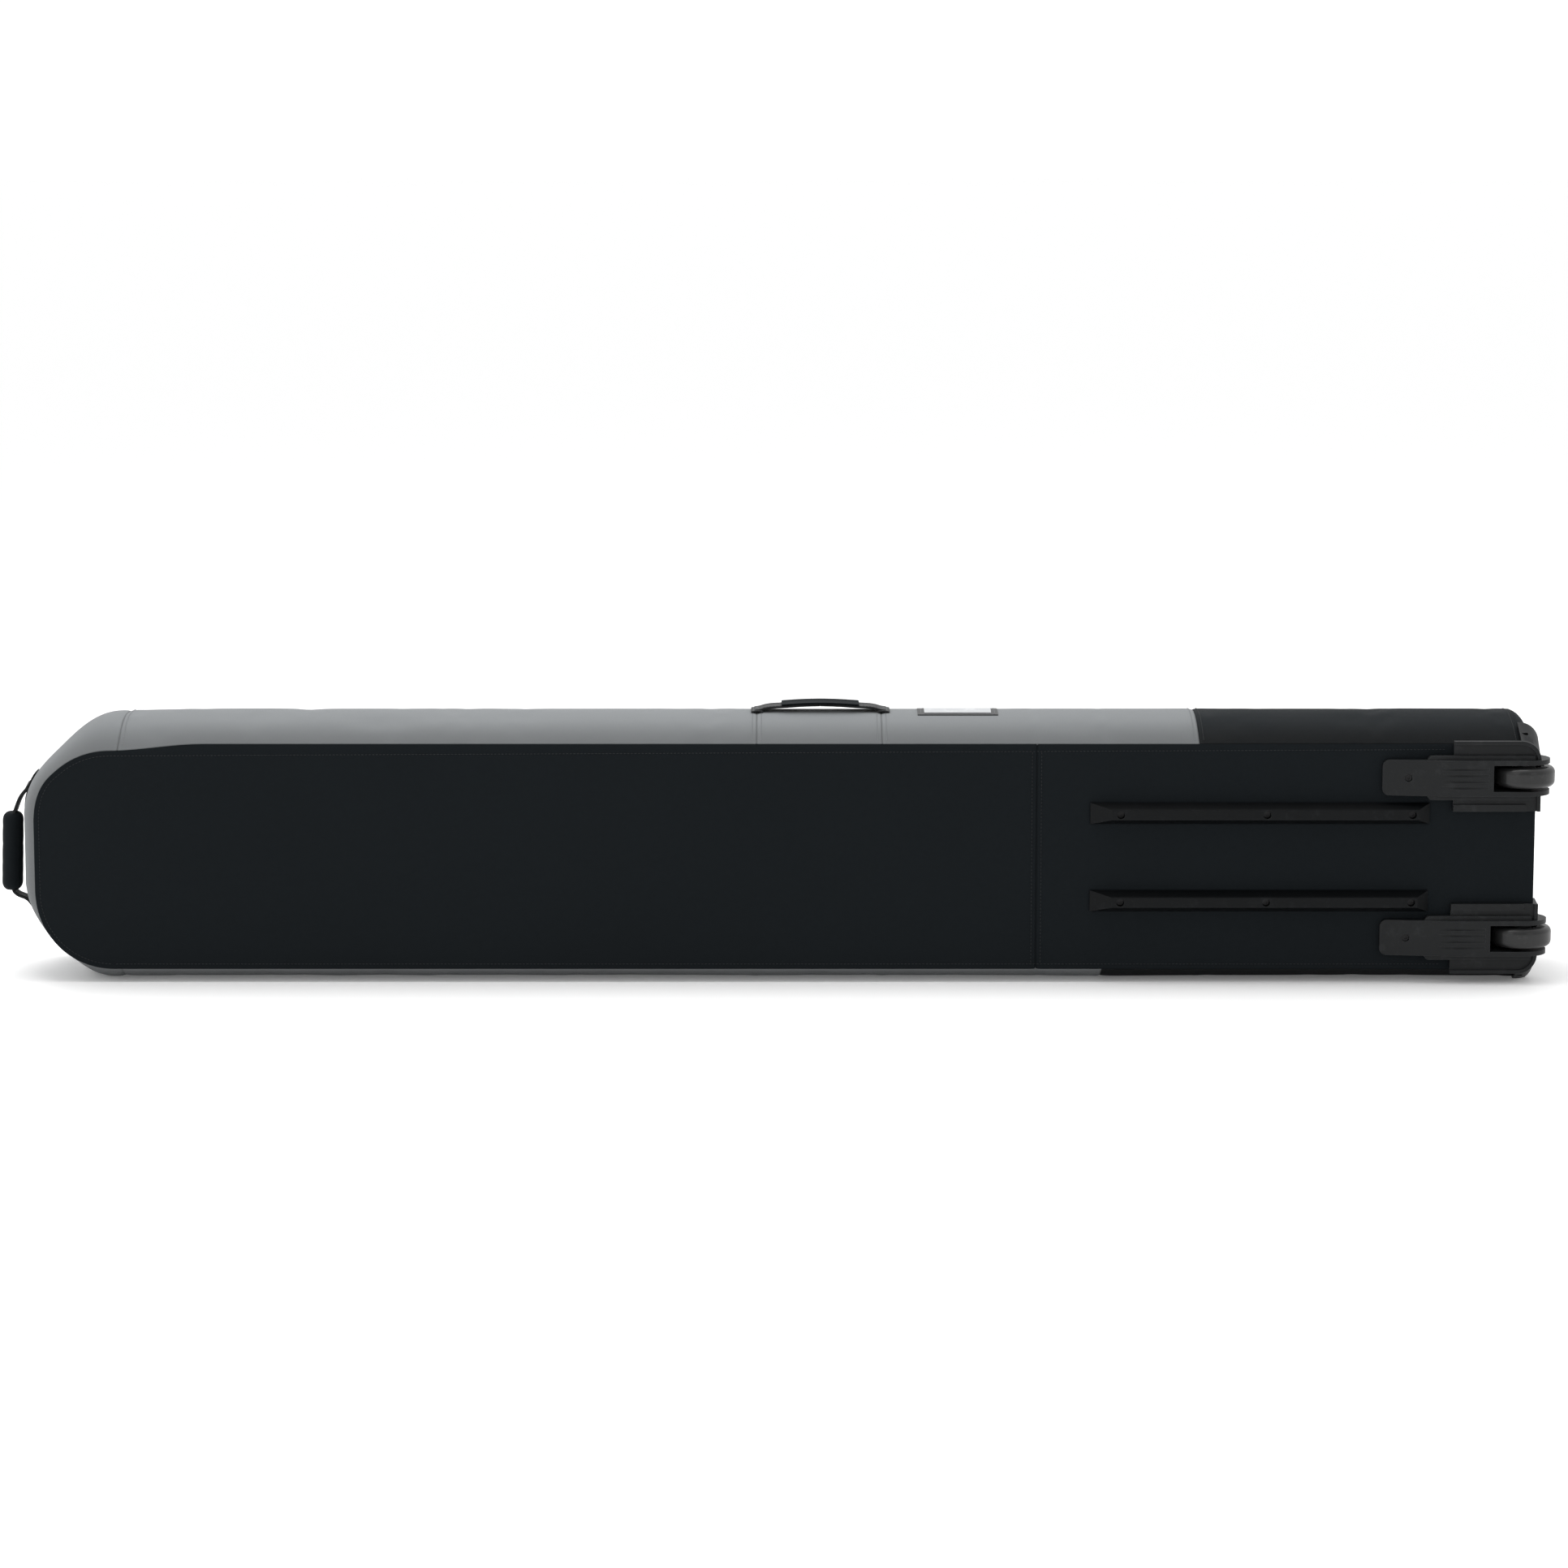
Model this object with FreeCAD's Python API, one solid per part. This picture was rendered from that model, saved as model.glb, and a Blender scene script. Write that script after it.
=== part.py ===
import FreeCAD, Part
import math
import os

from FreeCAD import Vector

# A wheeled snowboard bag that stands on its long side, in millimetres.
# X runs from the nose to the wheels, Y from the base to the lid, and Z up from the floor.

# Shell, measured along its seams. The gusset bulges out between the base seam and the lid seam.
BAG_DEPTH = 185.0
NOSE_SEAM_X = -879.0
TAIL_SEAM_X = 880.0
SEAM_BOTTOM_Z = 17.0
SEAM_TOP_Z = 283.0
SIDE_BULGE = 28.0
NOSE_BULGE = 23.0
TAIL_BULGE = 3.5
NOSE_CORNER_R = 90.0
TAIL_CORNER_R = 18.0
MID_DEPTH = BAG_DEPTH / 2
MID_Z = (SEAM_BOTTOM_Z + SEAM_TOP_Z) / 2

# Cloth and padding thicknesses.
CLOTH = 1.5
GUSSET_FOAM = 6.0
LINING = 0.8
STIFFENER = 2.5
BASE_FOAM = 5.0
GUSSET_STACK = CLOTH + GUSSET_FOAM + LINING
BASE_STACK = CLOTH + STIFFENER + BASE_FOAM + LINING

# Zipper band, as distances from the base. The two coils meet at its middle.
ZIP_START_Y = 155.5
ZIP_END_Y = 177.5
ZIP_MID_Y = 166.8
COIL_GAP = 2.4
COIL_WIDTH = 2.2
COIL_PROUD = 1.0
TAPE_SINK = 0.7

# Lid, hinged along its lower edge.
HINGE_Y = BAG_DEPTH
HINGE_Z = SEAM_BOTTOM_Z - 0.5
LID_EDGE_Z = SEAM_BOTTOM_Z + 0.3
LID_FOAM = 5.0
HINGE_STRIP_END_Y = 182.0

# Seams across the shell.
BASE_SEAM_X = 296.0
TOP_BLACK_X = 486.0
BOTTOM_BLACK_X = 374.0
HANDLE_PANEL_X = (-32.0, 115.0)
NOSE_PANEL_X = -780.0
TAIL_PANEL_X = TAIL_SEAM_X - TAIL_CORNER_R

# Wheels, their bearings and axles. Their axes stand upright.
WHEEL_OFFSET_Z = 95.0
AXLE_X = 868.0
AXLE_Y = 14.0
WHEEL_R = 36.0
WHEEL_WIDTH = 24.0
HUB_R = 23.0
TREAD_CORNER_R = 7.0
BEARING_R = 11.0
BEARING_WIDTH = 7.0
INNER_RING_R = 6.0
SEAL_GAP = 0.3
AXLE_R = 4.0
BOLT_HEAD_R = 6.5
BOLT_HEAD_H = 5.0
NUT_H = 5.5
HUB_SPOKES = 5

# Wheel housings, measured from each wheel's middle plane.
WELL_HALF_WIDTH = 15.5
WELL_WALL = 5.5
WELL_FRONT_X = 828.5
WELL_DEPTH_Y = 53.5
WELL_ROOF = 3.0
CHANNEL_HALF_WIDTH = WELL_HALF_WIDTH + WELL_WALL
CHANNEL_START_X = 700.0
CHANNEL_RAMP_X = 790.0
CHANNEL_LOW = 5.0
CHANNEL_HIGH = 16.0
CHEEK_R = 30.0
SHOULDER_START_X = 752.0
SHOULDER_HALF_WIDTH = 26.0
SHOULDER_HIGH = 10.0
FLANGE_START_X = 783.0
FLANGE_THICK = 5.0
FLANGE_INNER = 40.0
RIM_HIGH = 3.0
RIM_WIDTH = 4.0
WRAP_DEPTH_Y = 34.0
POCKET_HALF_WIDTH = 29.0

# Skid rails.
RAIL_OFFSET_Z = 52.0
RAIL_X = (359.0, 756.0)
RAIL_BASE_WIDTH = 25.0
RAIL_TOP_WIDTH = 12.0
RAIL_HIGH = 15.0
RAIL_RAMPS = (25.0, 14.0)
RAIL_SCREW_X = (394.0, 565.0, 735.0)
RAIL_RECESS = 8.0

# Screws and washers.
SCREW_R = 2.0
SCREW_HEAD_R = 4.0
SCREW_HEAD_H = 2.4
WASHER_R = 6.0
WASHER_THICK = 1.2
HOUSING_SCREW_X = 730.0
FLANGE_SCREWS = ((800.0, 29.5), (800.0, -30.0), (846.0, 29.5))

# Carry handle on the top side, and the label beside it.
CARRY_X = (-31.0, 117.0)
CARRY_Y = (73.5, 111.5)
CARRY_STRAP = 4.0
CARRY_END_GAP = 0.3
CARRY_RISE = 6.5
ANCHOR_LENGTH = 26.0
ANCHOR_THICK = 2.0
LABEL_X = (158.0, 253.0)
LABEL_Y = (64.0, 113.0)
LABEL_THICK = 1.2
LABEL_BORDER = 8.0

# Nose handle. Its webbing comes out of two stitched anchors and runs through a padded grip.
NOSE_CREST_X = NOSE_SEAM_X - NOSE_BULGE
NOSE_TOP_Z = 221.0
NOSE_LOW_Z = 84.0
GRIP_TOP = (-919.5, 189.0)
GRIP_LOW = (-924.5, 95.0)
GRIP_HALF = (9.5, 16.0)
NOSE_STRAP = 3.0
NOSE_STRAP_HALF_WIDTH = 10.0
NOSE_SWING_R = 8.4
NOSE_STUB_R = 8.1
NOSE_SWING_CLEAR = 8.2

# Zipper sliders, placed where the closed zipper's two sliders meet.
SLIDERS_MEET_X = -300.0
SLIDER_LENGTH = 13.0
SLIDER_HALF_WIDTH = 5.4
SLIDER_PLATE = 1.4
SLIDER_CHANNEL = (-1.8, 1.3)
POST_HALF_WIDTH = 0.45
POST_LENGTH = 3.0
LIP = 0.8
BAR_HEIGHT = 5.1
BAR_R = 0.8
BAR_FIT = 0.06
LUG_INNER = 2.1
LUG_OUTER = 3.1
TAB_LENGTH = 30.0
TAB_HALF_WIDTH = 4.0
TAB_THICK = 1.6
TAB_DROOP_DEG = 6.0

# Two straps inside hold the board down, each with a side-release buckle.
STRAP_X = (-430.0, 330.0)
STRAP_HALF_WIDTH = 12.5
STRAP_THICK = 1.5
STRAP_ENDS_Z = (32.0, 268.0)
BUCKLE_Z = 152.0
BUCKLE_HALF_WIDTH = 16.0
BUCKLE_THICK = 10.0
SOCKET_LENGTH = 30.0
PLUG_LENGTH = 27.0
PRONG_LENGTH = 20.0
BUCKLE_GAP = 0.3

# The shell's section changes its slope at these depths.
LEVELS = (0.0, BASE_STACK, 34.0, 64.0, MID_DEPTH, 121.0, 151.0, ZIP_START_Y, ZIP_END_Y, BAG_DEPTH)
FAR = 2000.0

# The origin is the middle of the underside of the whole bag's box.
BOX_NOSE_X = GRIP_LOW[0] - GRIP_HALF[0]
BOX_TAIL_X = AXLE_X + WHEEL_R
BOX_FRONT_Y = AXLE_Y - WHEEL_R
ORIGIN = Vector((BOX_NOSE_X + BOX_TAIL_X) / 2, (BOX_FRONT_Y + BAG_DEPTH) / 2, 0)

parts = {}


def box(x, y, z):
    """A box between two X, two Y and two Z values."""
    return Part.makeBox(x[1] - x[0], y[1] - y[0], z[1] - z[0], Vector(x[0], y[0], z[0]))


def rod(radius, start, along):
    """A round rod from start, as long as the vector along."""
    return Part.makeCylinder(radius, along.Length, start, along)


def fused(shapes):
    """One solid from several that touch or overlap."""
    return shapes[0].multiFuse(shapes[1:]).removeSplitter()


def add(name, shape):
    """Keep a finished piece, or a group of like pieces, under its own name."""
    solids = shape.Solids
    parts[name] = solids[0] if len(solids) == 1 else Part.makeCompound(solids)


def bulge(y):
    """The share of its full bulge that the gusset has at depth y, straight between two levels."""
    for low, high in zip(LEVELS, LEVELS[1:]):
        if low <= y <= high:
            ends = [1 - ((level - MID_DEPTH) / MID_DEPTH) ** 2 for level in (low, high)]
            return ends[0] + (ends[1] - ends[0]) * (y - low) / (high - low)
    return 0.0


def side_top(y):
    """The height of the upper side's cloth at depth y."""
    return SEAM_TOP_Z + SIDE_BULGE * bulge(y)


def outline(y, inset):
    """The shell's rounded outline at depth y, moved inwards by inset."""
    nose = NOSE_SEAM_X - NOSE_BULGE * bulge(y) + inset
    tail = TAIL_SEAM_X + TAIL_BULGE * bulge(y) - inset
    top = side_top(y) - inset
    low = SEAM_BOTTOM_Z - SIDE_BULGE * bulge(y) + inset
    corners = (
        (tail, low, TAIL_CORNER_R - inset, -90),
        (tail, top, TAIL_CORNER_R - inset, 0),
        (nose, top, NOSE_CORNER_R - inset, 90),
        (nose, low, NOSE_CORNER_R - inset, 180),
    )
    arcs = []
    for x, z, radius, first in corners:
        centre_x = x - math.copysign(radius, x)
        centre_z = z + (radius if z == low else -radius)
        points = []
        for angle in (first, first + 45, first + 90):
            turn = math.radians(angle)
            points.append(Vector(centre_x + radius * math.cos(turn), y, centre_z + radius * math.sin(turn)))
        arcs.append(points)
    edges = []
    for points, following in zip(arcs, arcs[1:] + arcs[:1]):
        edges.append(Part.Arc(*points).toShape())
        edges.append(Part.LineSegment(points[2], following[0]).toShape())
    return Part.Wire(edges)


def block(inset, start_y, end_y):
    """Everything inside the shell between two depths, with its sides moved inwards by inset.

    The lower side would bulge below the floor, so the floor cuts it flat."""
    between = [level for level in LEVELS if start_y < level < end_y]
    whole = Part.makeLoft([outline(y, inset) for y in [start_y, *between, end_y]], True, True)
    return whole.common(box((-FAR, FAR), (start_y, end_y), (max(0.0, inset), FAR)))


def band(outer, inner, start_y, end_y):
    """A layer that runs all round the shell, between two insets and two depths."""
    return block(outer, start_y, end_y).cut(block(inner, start_y, end_y))


def patch(thick, x, y, lift=0.0):
    """A flat piece that lies on the upper side's cloth and follows its curve."""
    layer = band(-lift - thick, -lift, y[0], y[1])
    return layer.common(box(x, y, (MID_Z, FAR)))


def screw(x, y, z, tip_y):
    """A round-headed screw whose head stands away from its tip."""
    outwards = math.copysign(1, y - tip_y)
    head = rod(SCREW_HEAD_R, Vector(x, y, z), Vector(0, outwards * SCREW_HEAD_H, 0))
    socket_r = SCREW_HEAD_R / 2
    socket = rod(socket_r, Vector(x, y + outwards * SCREW_HEAD_H / 2, z), Vector(0, outwards * SCREW_HEAD_H, 0))
    shank = rod(SCREW_R, Vector(x, tip_y, z), Vector(0, y - tip_y, 0))
    return head.cut(socket).fuse(shank).removeSplitter()


# Where the rails and the housings are, and every screw with the face its head sits on.
WHEEL_Z = {"upper": MID_Z + WHEEL_OFFSET_Z, "lower": MID_Z - WHEEL_OFFSET_Z}
RAIL_Z = {"upper": MID_Z + RAIL_OFFSET_Z, "lower": MID_Z - RAIL_OFFSET_Z}
BEHIND_BOARD_Y = CLOTH + STIFFENER
SCREW_TIP_Y = BEHIND_BOARD_Y + WASHER_THICK + 1.0
RAIL_SEAT_Y = -RAIL_HIGH + RAIL_RECESS
TONGUE_SEAT_Y = -CHANNEL_LOW + SCREW_HEAD_H / 2
RAIL_SCREWS = [(x, z) for z in RAIL_Z.values() for x in RAIL_SCREW_X]
TONGUE_SCREWS = [(HOUSING_SCREW_X, z) for z in WHEEL_Z.values()]
INNER_SCREWS = []
for side, wheel_z in WHEEL_Z.items():
    outwards = 1 if side == "upper" else -1
    INNER_SCREWS += [(x, wheel_z + outwards * offset) for x, offset in FLANGE_SCREWS]


def make_cutters():
    """The space that the wheel wells, axles, screws and washers take out of the cloth and padding."""
    wells = []
    for wheel_z in WHEEL_Z.values():
        x = (WELL_FRONT_X - WELL_WALL, FAR)
        walls = (wheel_z - WELL_HALF_WIDTH - WELL_WALL, wheel_z + WELL_HALF_WIDTH + WELL_WALL)
        bolt = (wheel_z - POCKET_HALF_WIDTH, wheel_z + POCKET_HALF_WIDTH)
        wells.append(box(x, (-1, WELL_DEPTH_Y + WELL_ROOF), walls))
        bolt_x = (AXLE_X - BOLT_HEAD_R - 1, AXLE_X + BOLT_HEAD_R + 1)
        wells.append(box(bolt_x, (-1, AXLE_Y + BOLT_HEAD_R + 1), bolt))
    holes = []
    for x, z in RAIL_SCREWS + TONGUE_SCREWS + INNER_SCREWS:
        holes.append(rod(SCREW_R, Vector(x, -1, z), Vector(0, BEHIND_BOARD_Y + 1, 0)))
    pockets = []
    for x, z in RAIL_SCREWS + TONGUE_SCREWS + INNER_SCREWS:
        pockets.append(rod(WASHER_R, Vector(x, BEHIND_BOARD_Y, z), Vector(0, BASE_FOAM, 0)))
    return Part.makeCompound(wells), Part.makeCompound(wells + holes), Part.makeCompound(wells + pockets)


def make_base(wells, wells_and_holes, wells_and_pockets):
    """The flat base: outer cloth in two panels, a plastic board, padding and lining."""
    cloth = block(0, 0, CLOTH).cut(wells_and_holes)
    add("base_front_panel", cloth.common(box((-FAR, BASE_SEAM_X), (-1, CLOTH), (-1, FAR))))
    add("base_tail_panel", cloth.common(box((BASE_SEAM_X, FAR), (-1, CLOTH), (-1, FAR))))
    sheet = block(CLOTH, CLOTH, BASE_STACK)
    layers = (
        ("base_stiffener", CLOTH, BEHIND_BOARD_Y, wells_and_holes),
        ("base_foam", BEHIND_BOARD_Y, BEHIND_BOARD_Y + BASE_FOAM, wells_and_pockets),
        ("base_lining", BEHIND_BOARD_Y + BASE_FOAM, BASE_STACK, wells),
    )
    for name, start_y, end_y, cutter in layers:
        layer = sheet.common(box((-FAR, FAR), (start_y, end_y), (-FAR, FAR)))
        add(name, layer.cut(cutter))


def make_gusset(wells):
    """The soft side wall that runs round the bag, in its sewn panels, with padding and lining."""
    upper = (MID_Z, FAR)
    lower = (-1, MID_Z)
    cloth = band(0, CLOTH, CLOTH, ZIP_START_Y).cut(wells)
    panels = (
        ("gusset_nose", (-FAR, NOSE_PANEL_X), (-1, FAR)),
        ("gusset_top_front", (NOSE_PANEL_X, HANDLE_PANEL_X[0]), upper),
        ("gusset_handle_panel", HANDLE_PANEL_X, upper),
        ("gusset_top_rear", (HANDLE_PANEL_X[1], TOP_BLACK_X), upper),
        ("gusset_top_tail", (TOP_BLACK_X, TAIL_PANEL_X), upper),
        ("gusset_bottom_front", (NOSE_PANEL_X, BOTTOM_BLACK_X), lower),
        ("gusset_bottom_tail", (BOTTOM_BLACK_X, TAIL_PANEL_X), lower),
        ("tail_wall", (TAIL_PANEL_X, FAR), (-1, FAR)),
    )
    for name, x, z in panels:
        add(name, cloth.common(box(x, (0, BAG_DEPTH), z)))
    padding_end_y = ZIP_START_Y - 6
    padding = band(CLOTH, CLOTH + GUSSET_FOAM, BASE_STACK, padding_end_y).cut(wells)
    strips = []
    for x, z in (((-FAR, NOSE_PANEL_X), (-1, FAR)), ((NOSE_PANEL_X, TAIL_PANEL_X), upper),
                 ((NOSE_PANEL_X, TAIL_PANEL_X), lower), ((TAIL_PANEL_X, FAR), (-1, FAR))):
        strips += padding.common(box(x, (0, BAG_DEPTH), z)).Solids
    add("gusset_foam", Part.makeCompound(strips))
    add("gusset_lining", band(CLOTH + GUSSET_FOAM, GUSSET_STACK, BASE_STACK, padding_end_y).cut(wells))


def make_zipper_band():
    """The two halves of the long zipper, and the strip of cloth that the lid hinges on."""
    zipped = box((-FAR, FAR), (0, BAG_DEPTH), (LID_EDGE_Z, FAR))
    coil_start = ZIP_MID_Y - COIL_GAP / 2 - COIL_WIDTH
    coil_end = ZIP_MID_Y + COIL_GAP / 2 + COIL_WIDTH
    tape = (TAPE_SINK, CLOTH)
    coil = (-COIL_PROUD, CLOTH)
    add("zipper_tape_body", band(*tape, ZIP_START_Y, coil_start).common(zipped))
    add("zipper_coil_body", band(*coil, coil_start, coil_start + COIL_WIDTH).common(zipped))
    add("zipper_coil_lid", band(*coil, coil_end - COIL_WIDTH, coil_end).common(zipped))
    add("zipper_tape_lid", band(*tape, coil_end, ZIP_END_Y).common(zipped))
    strip = band(0, CLOTH, ZIP_START_Y, HINGE_STRIP_END_Y)
    add("lid_hinge_strip", strip.common(box((-FAR, FAR), (0, BAG_DEPTH), (-1, SEAM_BOTTOM_Z))))


def make_lid():
    """The lid: a rim beside the zipper, a padded panel and its lining."""
    zipped = box((-FAR, FAR), (0, BAG_DEPTH), (LID_EDGE_Z, FAR))
    panel_y = BAG_DEPTH - CLOTH
    foam_y = panel_y - LID_FOAM
    add("lid_rim", band(0, CLOTH, ZIP_END_Y, panel_y).common(zipped))
    add("lid_panel", block(0, panel_y, BAG_DEPTH).common(zipped))
    add("lid_foam", block(CLOTH, foam_y, panel_y).common(zipped))
    add("lid_lining", block(CLOTH, foam_y - LINING, foam_y).common(zipped))


def channel_solid(wheel_z):
    """The raised tongue that rises towards the wheel and ends in two round cheeks."""
    corners = (
        (CHANNEL_START_X, 0),
        (CHANNEL_START_X, -CHANNEL_LOW),
        (CHANNEL_RAMP_X, -CHANNEL_HIGH),
        (AXLE_X, AXLE_Y - CHEEK_R),
        (AXLE_X, 0),
    )
    points = [Vector(x, y, wheel_z - CHANNEL_HALF_WIDTH) for x, y in corners]
    side = Part.Face(Part.makePolygon(points + points[:1]))
    width = Vector(0, 0, 2 * CHANNEL_HALF_WIDTH)
    ramp = side.extrude(width)
    cheeks = rod(CHEEK_R, Vector(AXLE_X, AXLE_Y, wheel_z - CHANNEL_HALF_WIDTH), width)
    nose_edges = [edge for edge in ramp.Edges
                  if edge.BoundBox.XMax < CHANNEL_START_X + 1 and edge.BoundBox.YLength > 1]
    return ramp.makeFillet(8, nose_edges).fuse(cheeks)


def make_housing(side):
    """A moulded wheel housing: tongue, shoulder, flange with raised rims, corner wrap and wheel well."""
    wheel_z = WHEEL_Z[side]
    outwards = 1 if side == "upper" else -1
    inner_z = wheel_z - outwards * FLANGE_INNER
    edge_z = (inner_z, FAR) if side == "upper" else (-FAR, inner_z)
    footprint = block(-FLANGE_THICK, 0, 0.01).BoundBox
    deep = WRAP_DEPTH_Y + 1

    def moulding(start_y, end_y, inset):
        """A slab of the housing's outline, which follows the bag's rounded corner."""
        slab = Part.Face(outline(0, inset)).extrude(Vector(0, end_y - start_y, 0))
        slab.translate(Vector(0, start_y, 0))
        return slab

    flange_zone = box((FLANGE_START_X, FAR), (-FLANGE_THICK - RIM_HIGH, deep), edge_z)
    flange = moulding(-FLANGE_THICK, 0, -FLANGE_THICK).common(flange_zone)
    rim_y = (-FLANGE_THICK - RIM_HIGH, -FLANGE_THICK)
    rim = moulding(*rim_y, -FLANGE_THICK).cut(moulding(*rim_y, RIM_WIDTH - FLANGE_THICK)).common(flange_zone)
    inner_rim_z = sorted((inner_z, inner_z + outwards * 2 * RIM_WIDTH))
    inner_rim = box((FLANGE_START_X, AXLE_X), rim_y, inner_rim_z)
    wrap = band(-FLANGE_THICK, 0, 0, WRAP_DEPTH_Y).common(box((TAIL_PANEL_X, FAR), (0, deep), edge_z))
    shoulder_z = (wheel_z - SHOULDER_HALF_WIDTH, wheel_z + SHOULDER_HALF_WIDTH)
    shoulder = box((SHOULDER_START_X, AXLE_X + TAIL_CORNER_R / 2), (-SHOULDER_HIGH, 0), shoulder_z)
    shoulder_edges = [edge for edge in shoulder.Edges
                      if edge.BoundBox.XMax < SHOULDER_START_X + 1 and edge.BoundBox.YLength > 1]
    shoulder = shoulder.makeFillet(6, shoulder_edges)
    half = WELL_HALF_WIDTH + WELL_WALL
    well_x = (WELL_FRONT_X - WELL_WALL, footprint.XMax)
    well = box(well_x, (0, WELL_DEPTH_Y + WELL_ROOF), (wheel_z - half, wheel_z + half))
    solid = fused([flange, rim, inner_rim, wrap, shoulder, channel_solid(wheel_z), well])
    hollow_z = (wheel_z - WELL_HALF_WIDTH, wheel_z + WELL_HALF_WIDTH)
    hollow = box((WELL_FRONT_X, FAR), (-FAR, WELL_DEPTH_Y), hollow_z)
    axle_hole = rod(AXLE_R, Vector(AXLE_X, AXLE_Y, wheel_z - 50), Vector(0, 0, 100))
    cuts = [hollow, axle_hole]
    groove_slope = (CHANNEL_HIGH - CHANNEL_LOW) / (CHANNEL_RAMP_X - CHANNEL_START_X)
    for offset in (-11.0, -3.5, 3.5, 11.0):
        groove = box((SHOULDER_START_X + 8, WELL_FRONT_X - WELL_WALL), (-3.0, 3.0), (-1.3, 1.3))
        groove.rotate(Vector(SHOULDER_START_X + 8, 0, 0), Vector(0, 0, 1), -math.degrees(math.atan(groove_slope)) / 3)
        groove.translate(Vector(0, -CHANNEL_HIGH, wheel_z + offset))
        cuts.append(groove)
    for x, z in TONGUE_SCREWS:
        cuts.append(rod(SCREW_HEAD_R + 0.5, Vector(x, TONGUE_SEAT_Y, z), Vector(0, -20, 0)))
        cuts.append(rod(SCREW_R, Vector(x, -20, z), Vector(0, 21, 0)))
    for x, z in INNER_SCREWS:
        cuts.append(rod(SCREW_R, Vector(x, -FLANGE_THICK + 1, z), Vector(0, FLANGE_THICK, 0)))
    above_floor = box((0, FAR), (-FAR, FAR), (0, FAR))
    add(f"wheel_housing_{side}", solid.cut(Part.makeCompound(cuts)).common(above_floor))


def ring(inner_r, outer_r, low_z, high_z):
    """A plain ring about the wheel's axis, between two heights."""
    axis = Vector(AXLE_X, AXLE_Y, low_z)
    along = Vector(0, 0, high_z - low_z)
    return rod(outer_r, axis, along).cut(rod(inner_r, axis, along))


def make_wheel(side):
    """A wheel that turns on two ball bearings: soft tyre, spoked hub and the outer bearing rings."""
    wheel_z = WHEEL_Z[side]
    half = WHEEL_WIDTH / 2
    low = wheel_z - half
    high = wheel_z + half
    tyre = ring(HUB_R, WHEEL_R, low, high)
    tread_edges = [edge for edge in tyre.Edges
                   if edge.BoundBox.XLength > 2 * WHEEL_R - 1 and edge.BoundBox.ZLength < 1]
    add(f"wheel_tyre_{side}", tyre.makeFillet(TREAD_CORNER_R, tread_edges))
    lip = half - BEARING_WIDTH
    rim = ring(HUB_R - 3, HUB_R, low + 1, high - 1)
    sleeve = ring(BEARING_R, BEARING_R + 2.5, low, high)
    stop = ring(BEARING_R - 1.5, BEARING_R, wheel_z - lip, wheel_z + lip)
    web = ring(BEARING_R + 2, HUB_R - 2, wheel_z - half / 2, wheel_z + half / 2)
    windows = []
    for spoke in range(HUB_SPOKES):
        turn = 2 * math.pi * (spoke + 0.5) / HUB_SPOKES
        reach = (BEARING_R + 2.5 + HUB_R - 3) / 2
        middle = Vector(AXLE_X + reach * math.cos(turn), AXLE_Y + reach * math.sin(turn), low)
        windows.append(rod(3.0, middle, Vector(0, 0, WHEEL_WIDTH)))
    web = web.cut(Part.makeCompound(windows))
    add(f"wheel_hub_{side}", fused([rim, sleeve, stop, web]))
    outer_rings = []
    for bottom in (low, high - BEARING_WIDTH):
        outer_rings.append(ring(INNER_RING_R + SEAL_GAP, BEARING_R, bottom, bottom + BEARING_WIDTH))
    add(f"wheel_bearings_{side}", Part.makeCompound(outer_rings))


def make_axles():
    """Axle bolts and nuts, the bearings' inner rings and the spacers that clamp them."""
    inner_rings = []
    spacers = []
    nuts = []
    half = WHEEL_WIDTH / 2
    wall = WELL_HALF_WIDTH + WELL_WALL
    for side, z in WHEEL_Z.items():
        head = rod(BOLT_HEAD_R, Vector(AXLE_X, AXLE_Y, z + wall), Vector(0, 0, BOLT_HEAD_H))
        socket = rod(AXLE_R * 0.7, Vector(AXLE_X, AXLE_Y, z + wall + BOLT_HEAD_H / 2), Vector(0, 0, BOLT_HEAD_H))
        shank = rod(AXLE_R, Vector(AXLE_X, AXLE_Y, z - wall - NUT_H - 2), Vector(0, 0, 2 * wall + NUT_H + 2))
        add(f"axle_bolt_{side}", head.cut(socket).fuse(shank).removeSplitter())
        points = []
        for corner in range(7):
            turn = math.radians(60 * corner)
            flat_r = BOLT_HEAD_R / math.cos(math.radians(30))
            points.append(Vector(AXLE_X + flat_r * math.cos(turn), AXLE_Y + flat_r * math.sin(turn), z - wall))
        nut = Part.Face(Part.makePolygon(points)).extrude(Vector(0, 0, -NUT_H))
        nuts.append(nut.cut(shank))
        for bottom in (z - half, z + half - BEARING_WIDTH):
            inner_rings.append(ring(AXLE_R, INNER_RING_R, bottom, bottom + BEARING_WIDTH))
        gaps = ((z - WELL_HALF_WIDTH, z - half), (z - half + BEARING_WIDTH, z + half - BEARING_WIDTH),
                (z + half, z + WELL_HALF_WIDTH))
        for low, high in gaps:
            spacers.append(ring(AXLE_R, INNER_RING_R - 0.5, low, high))
    add("bearing_inner_rings", Part.makeCompound(inner_rings))
    add("axle_spacers", Part.makeCompound(spacers))
    add("axle_nuts", Part.makeCompound(nuts))


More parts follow.
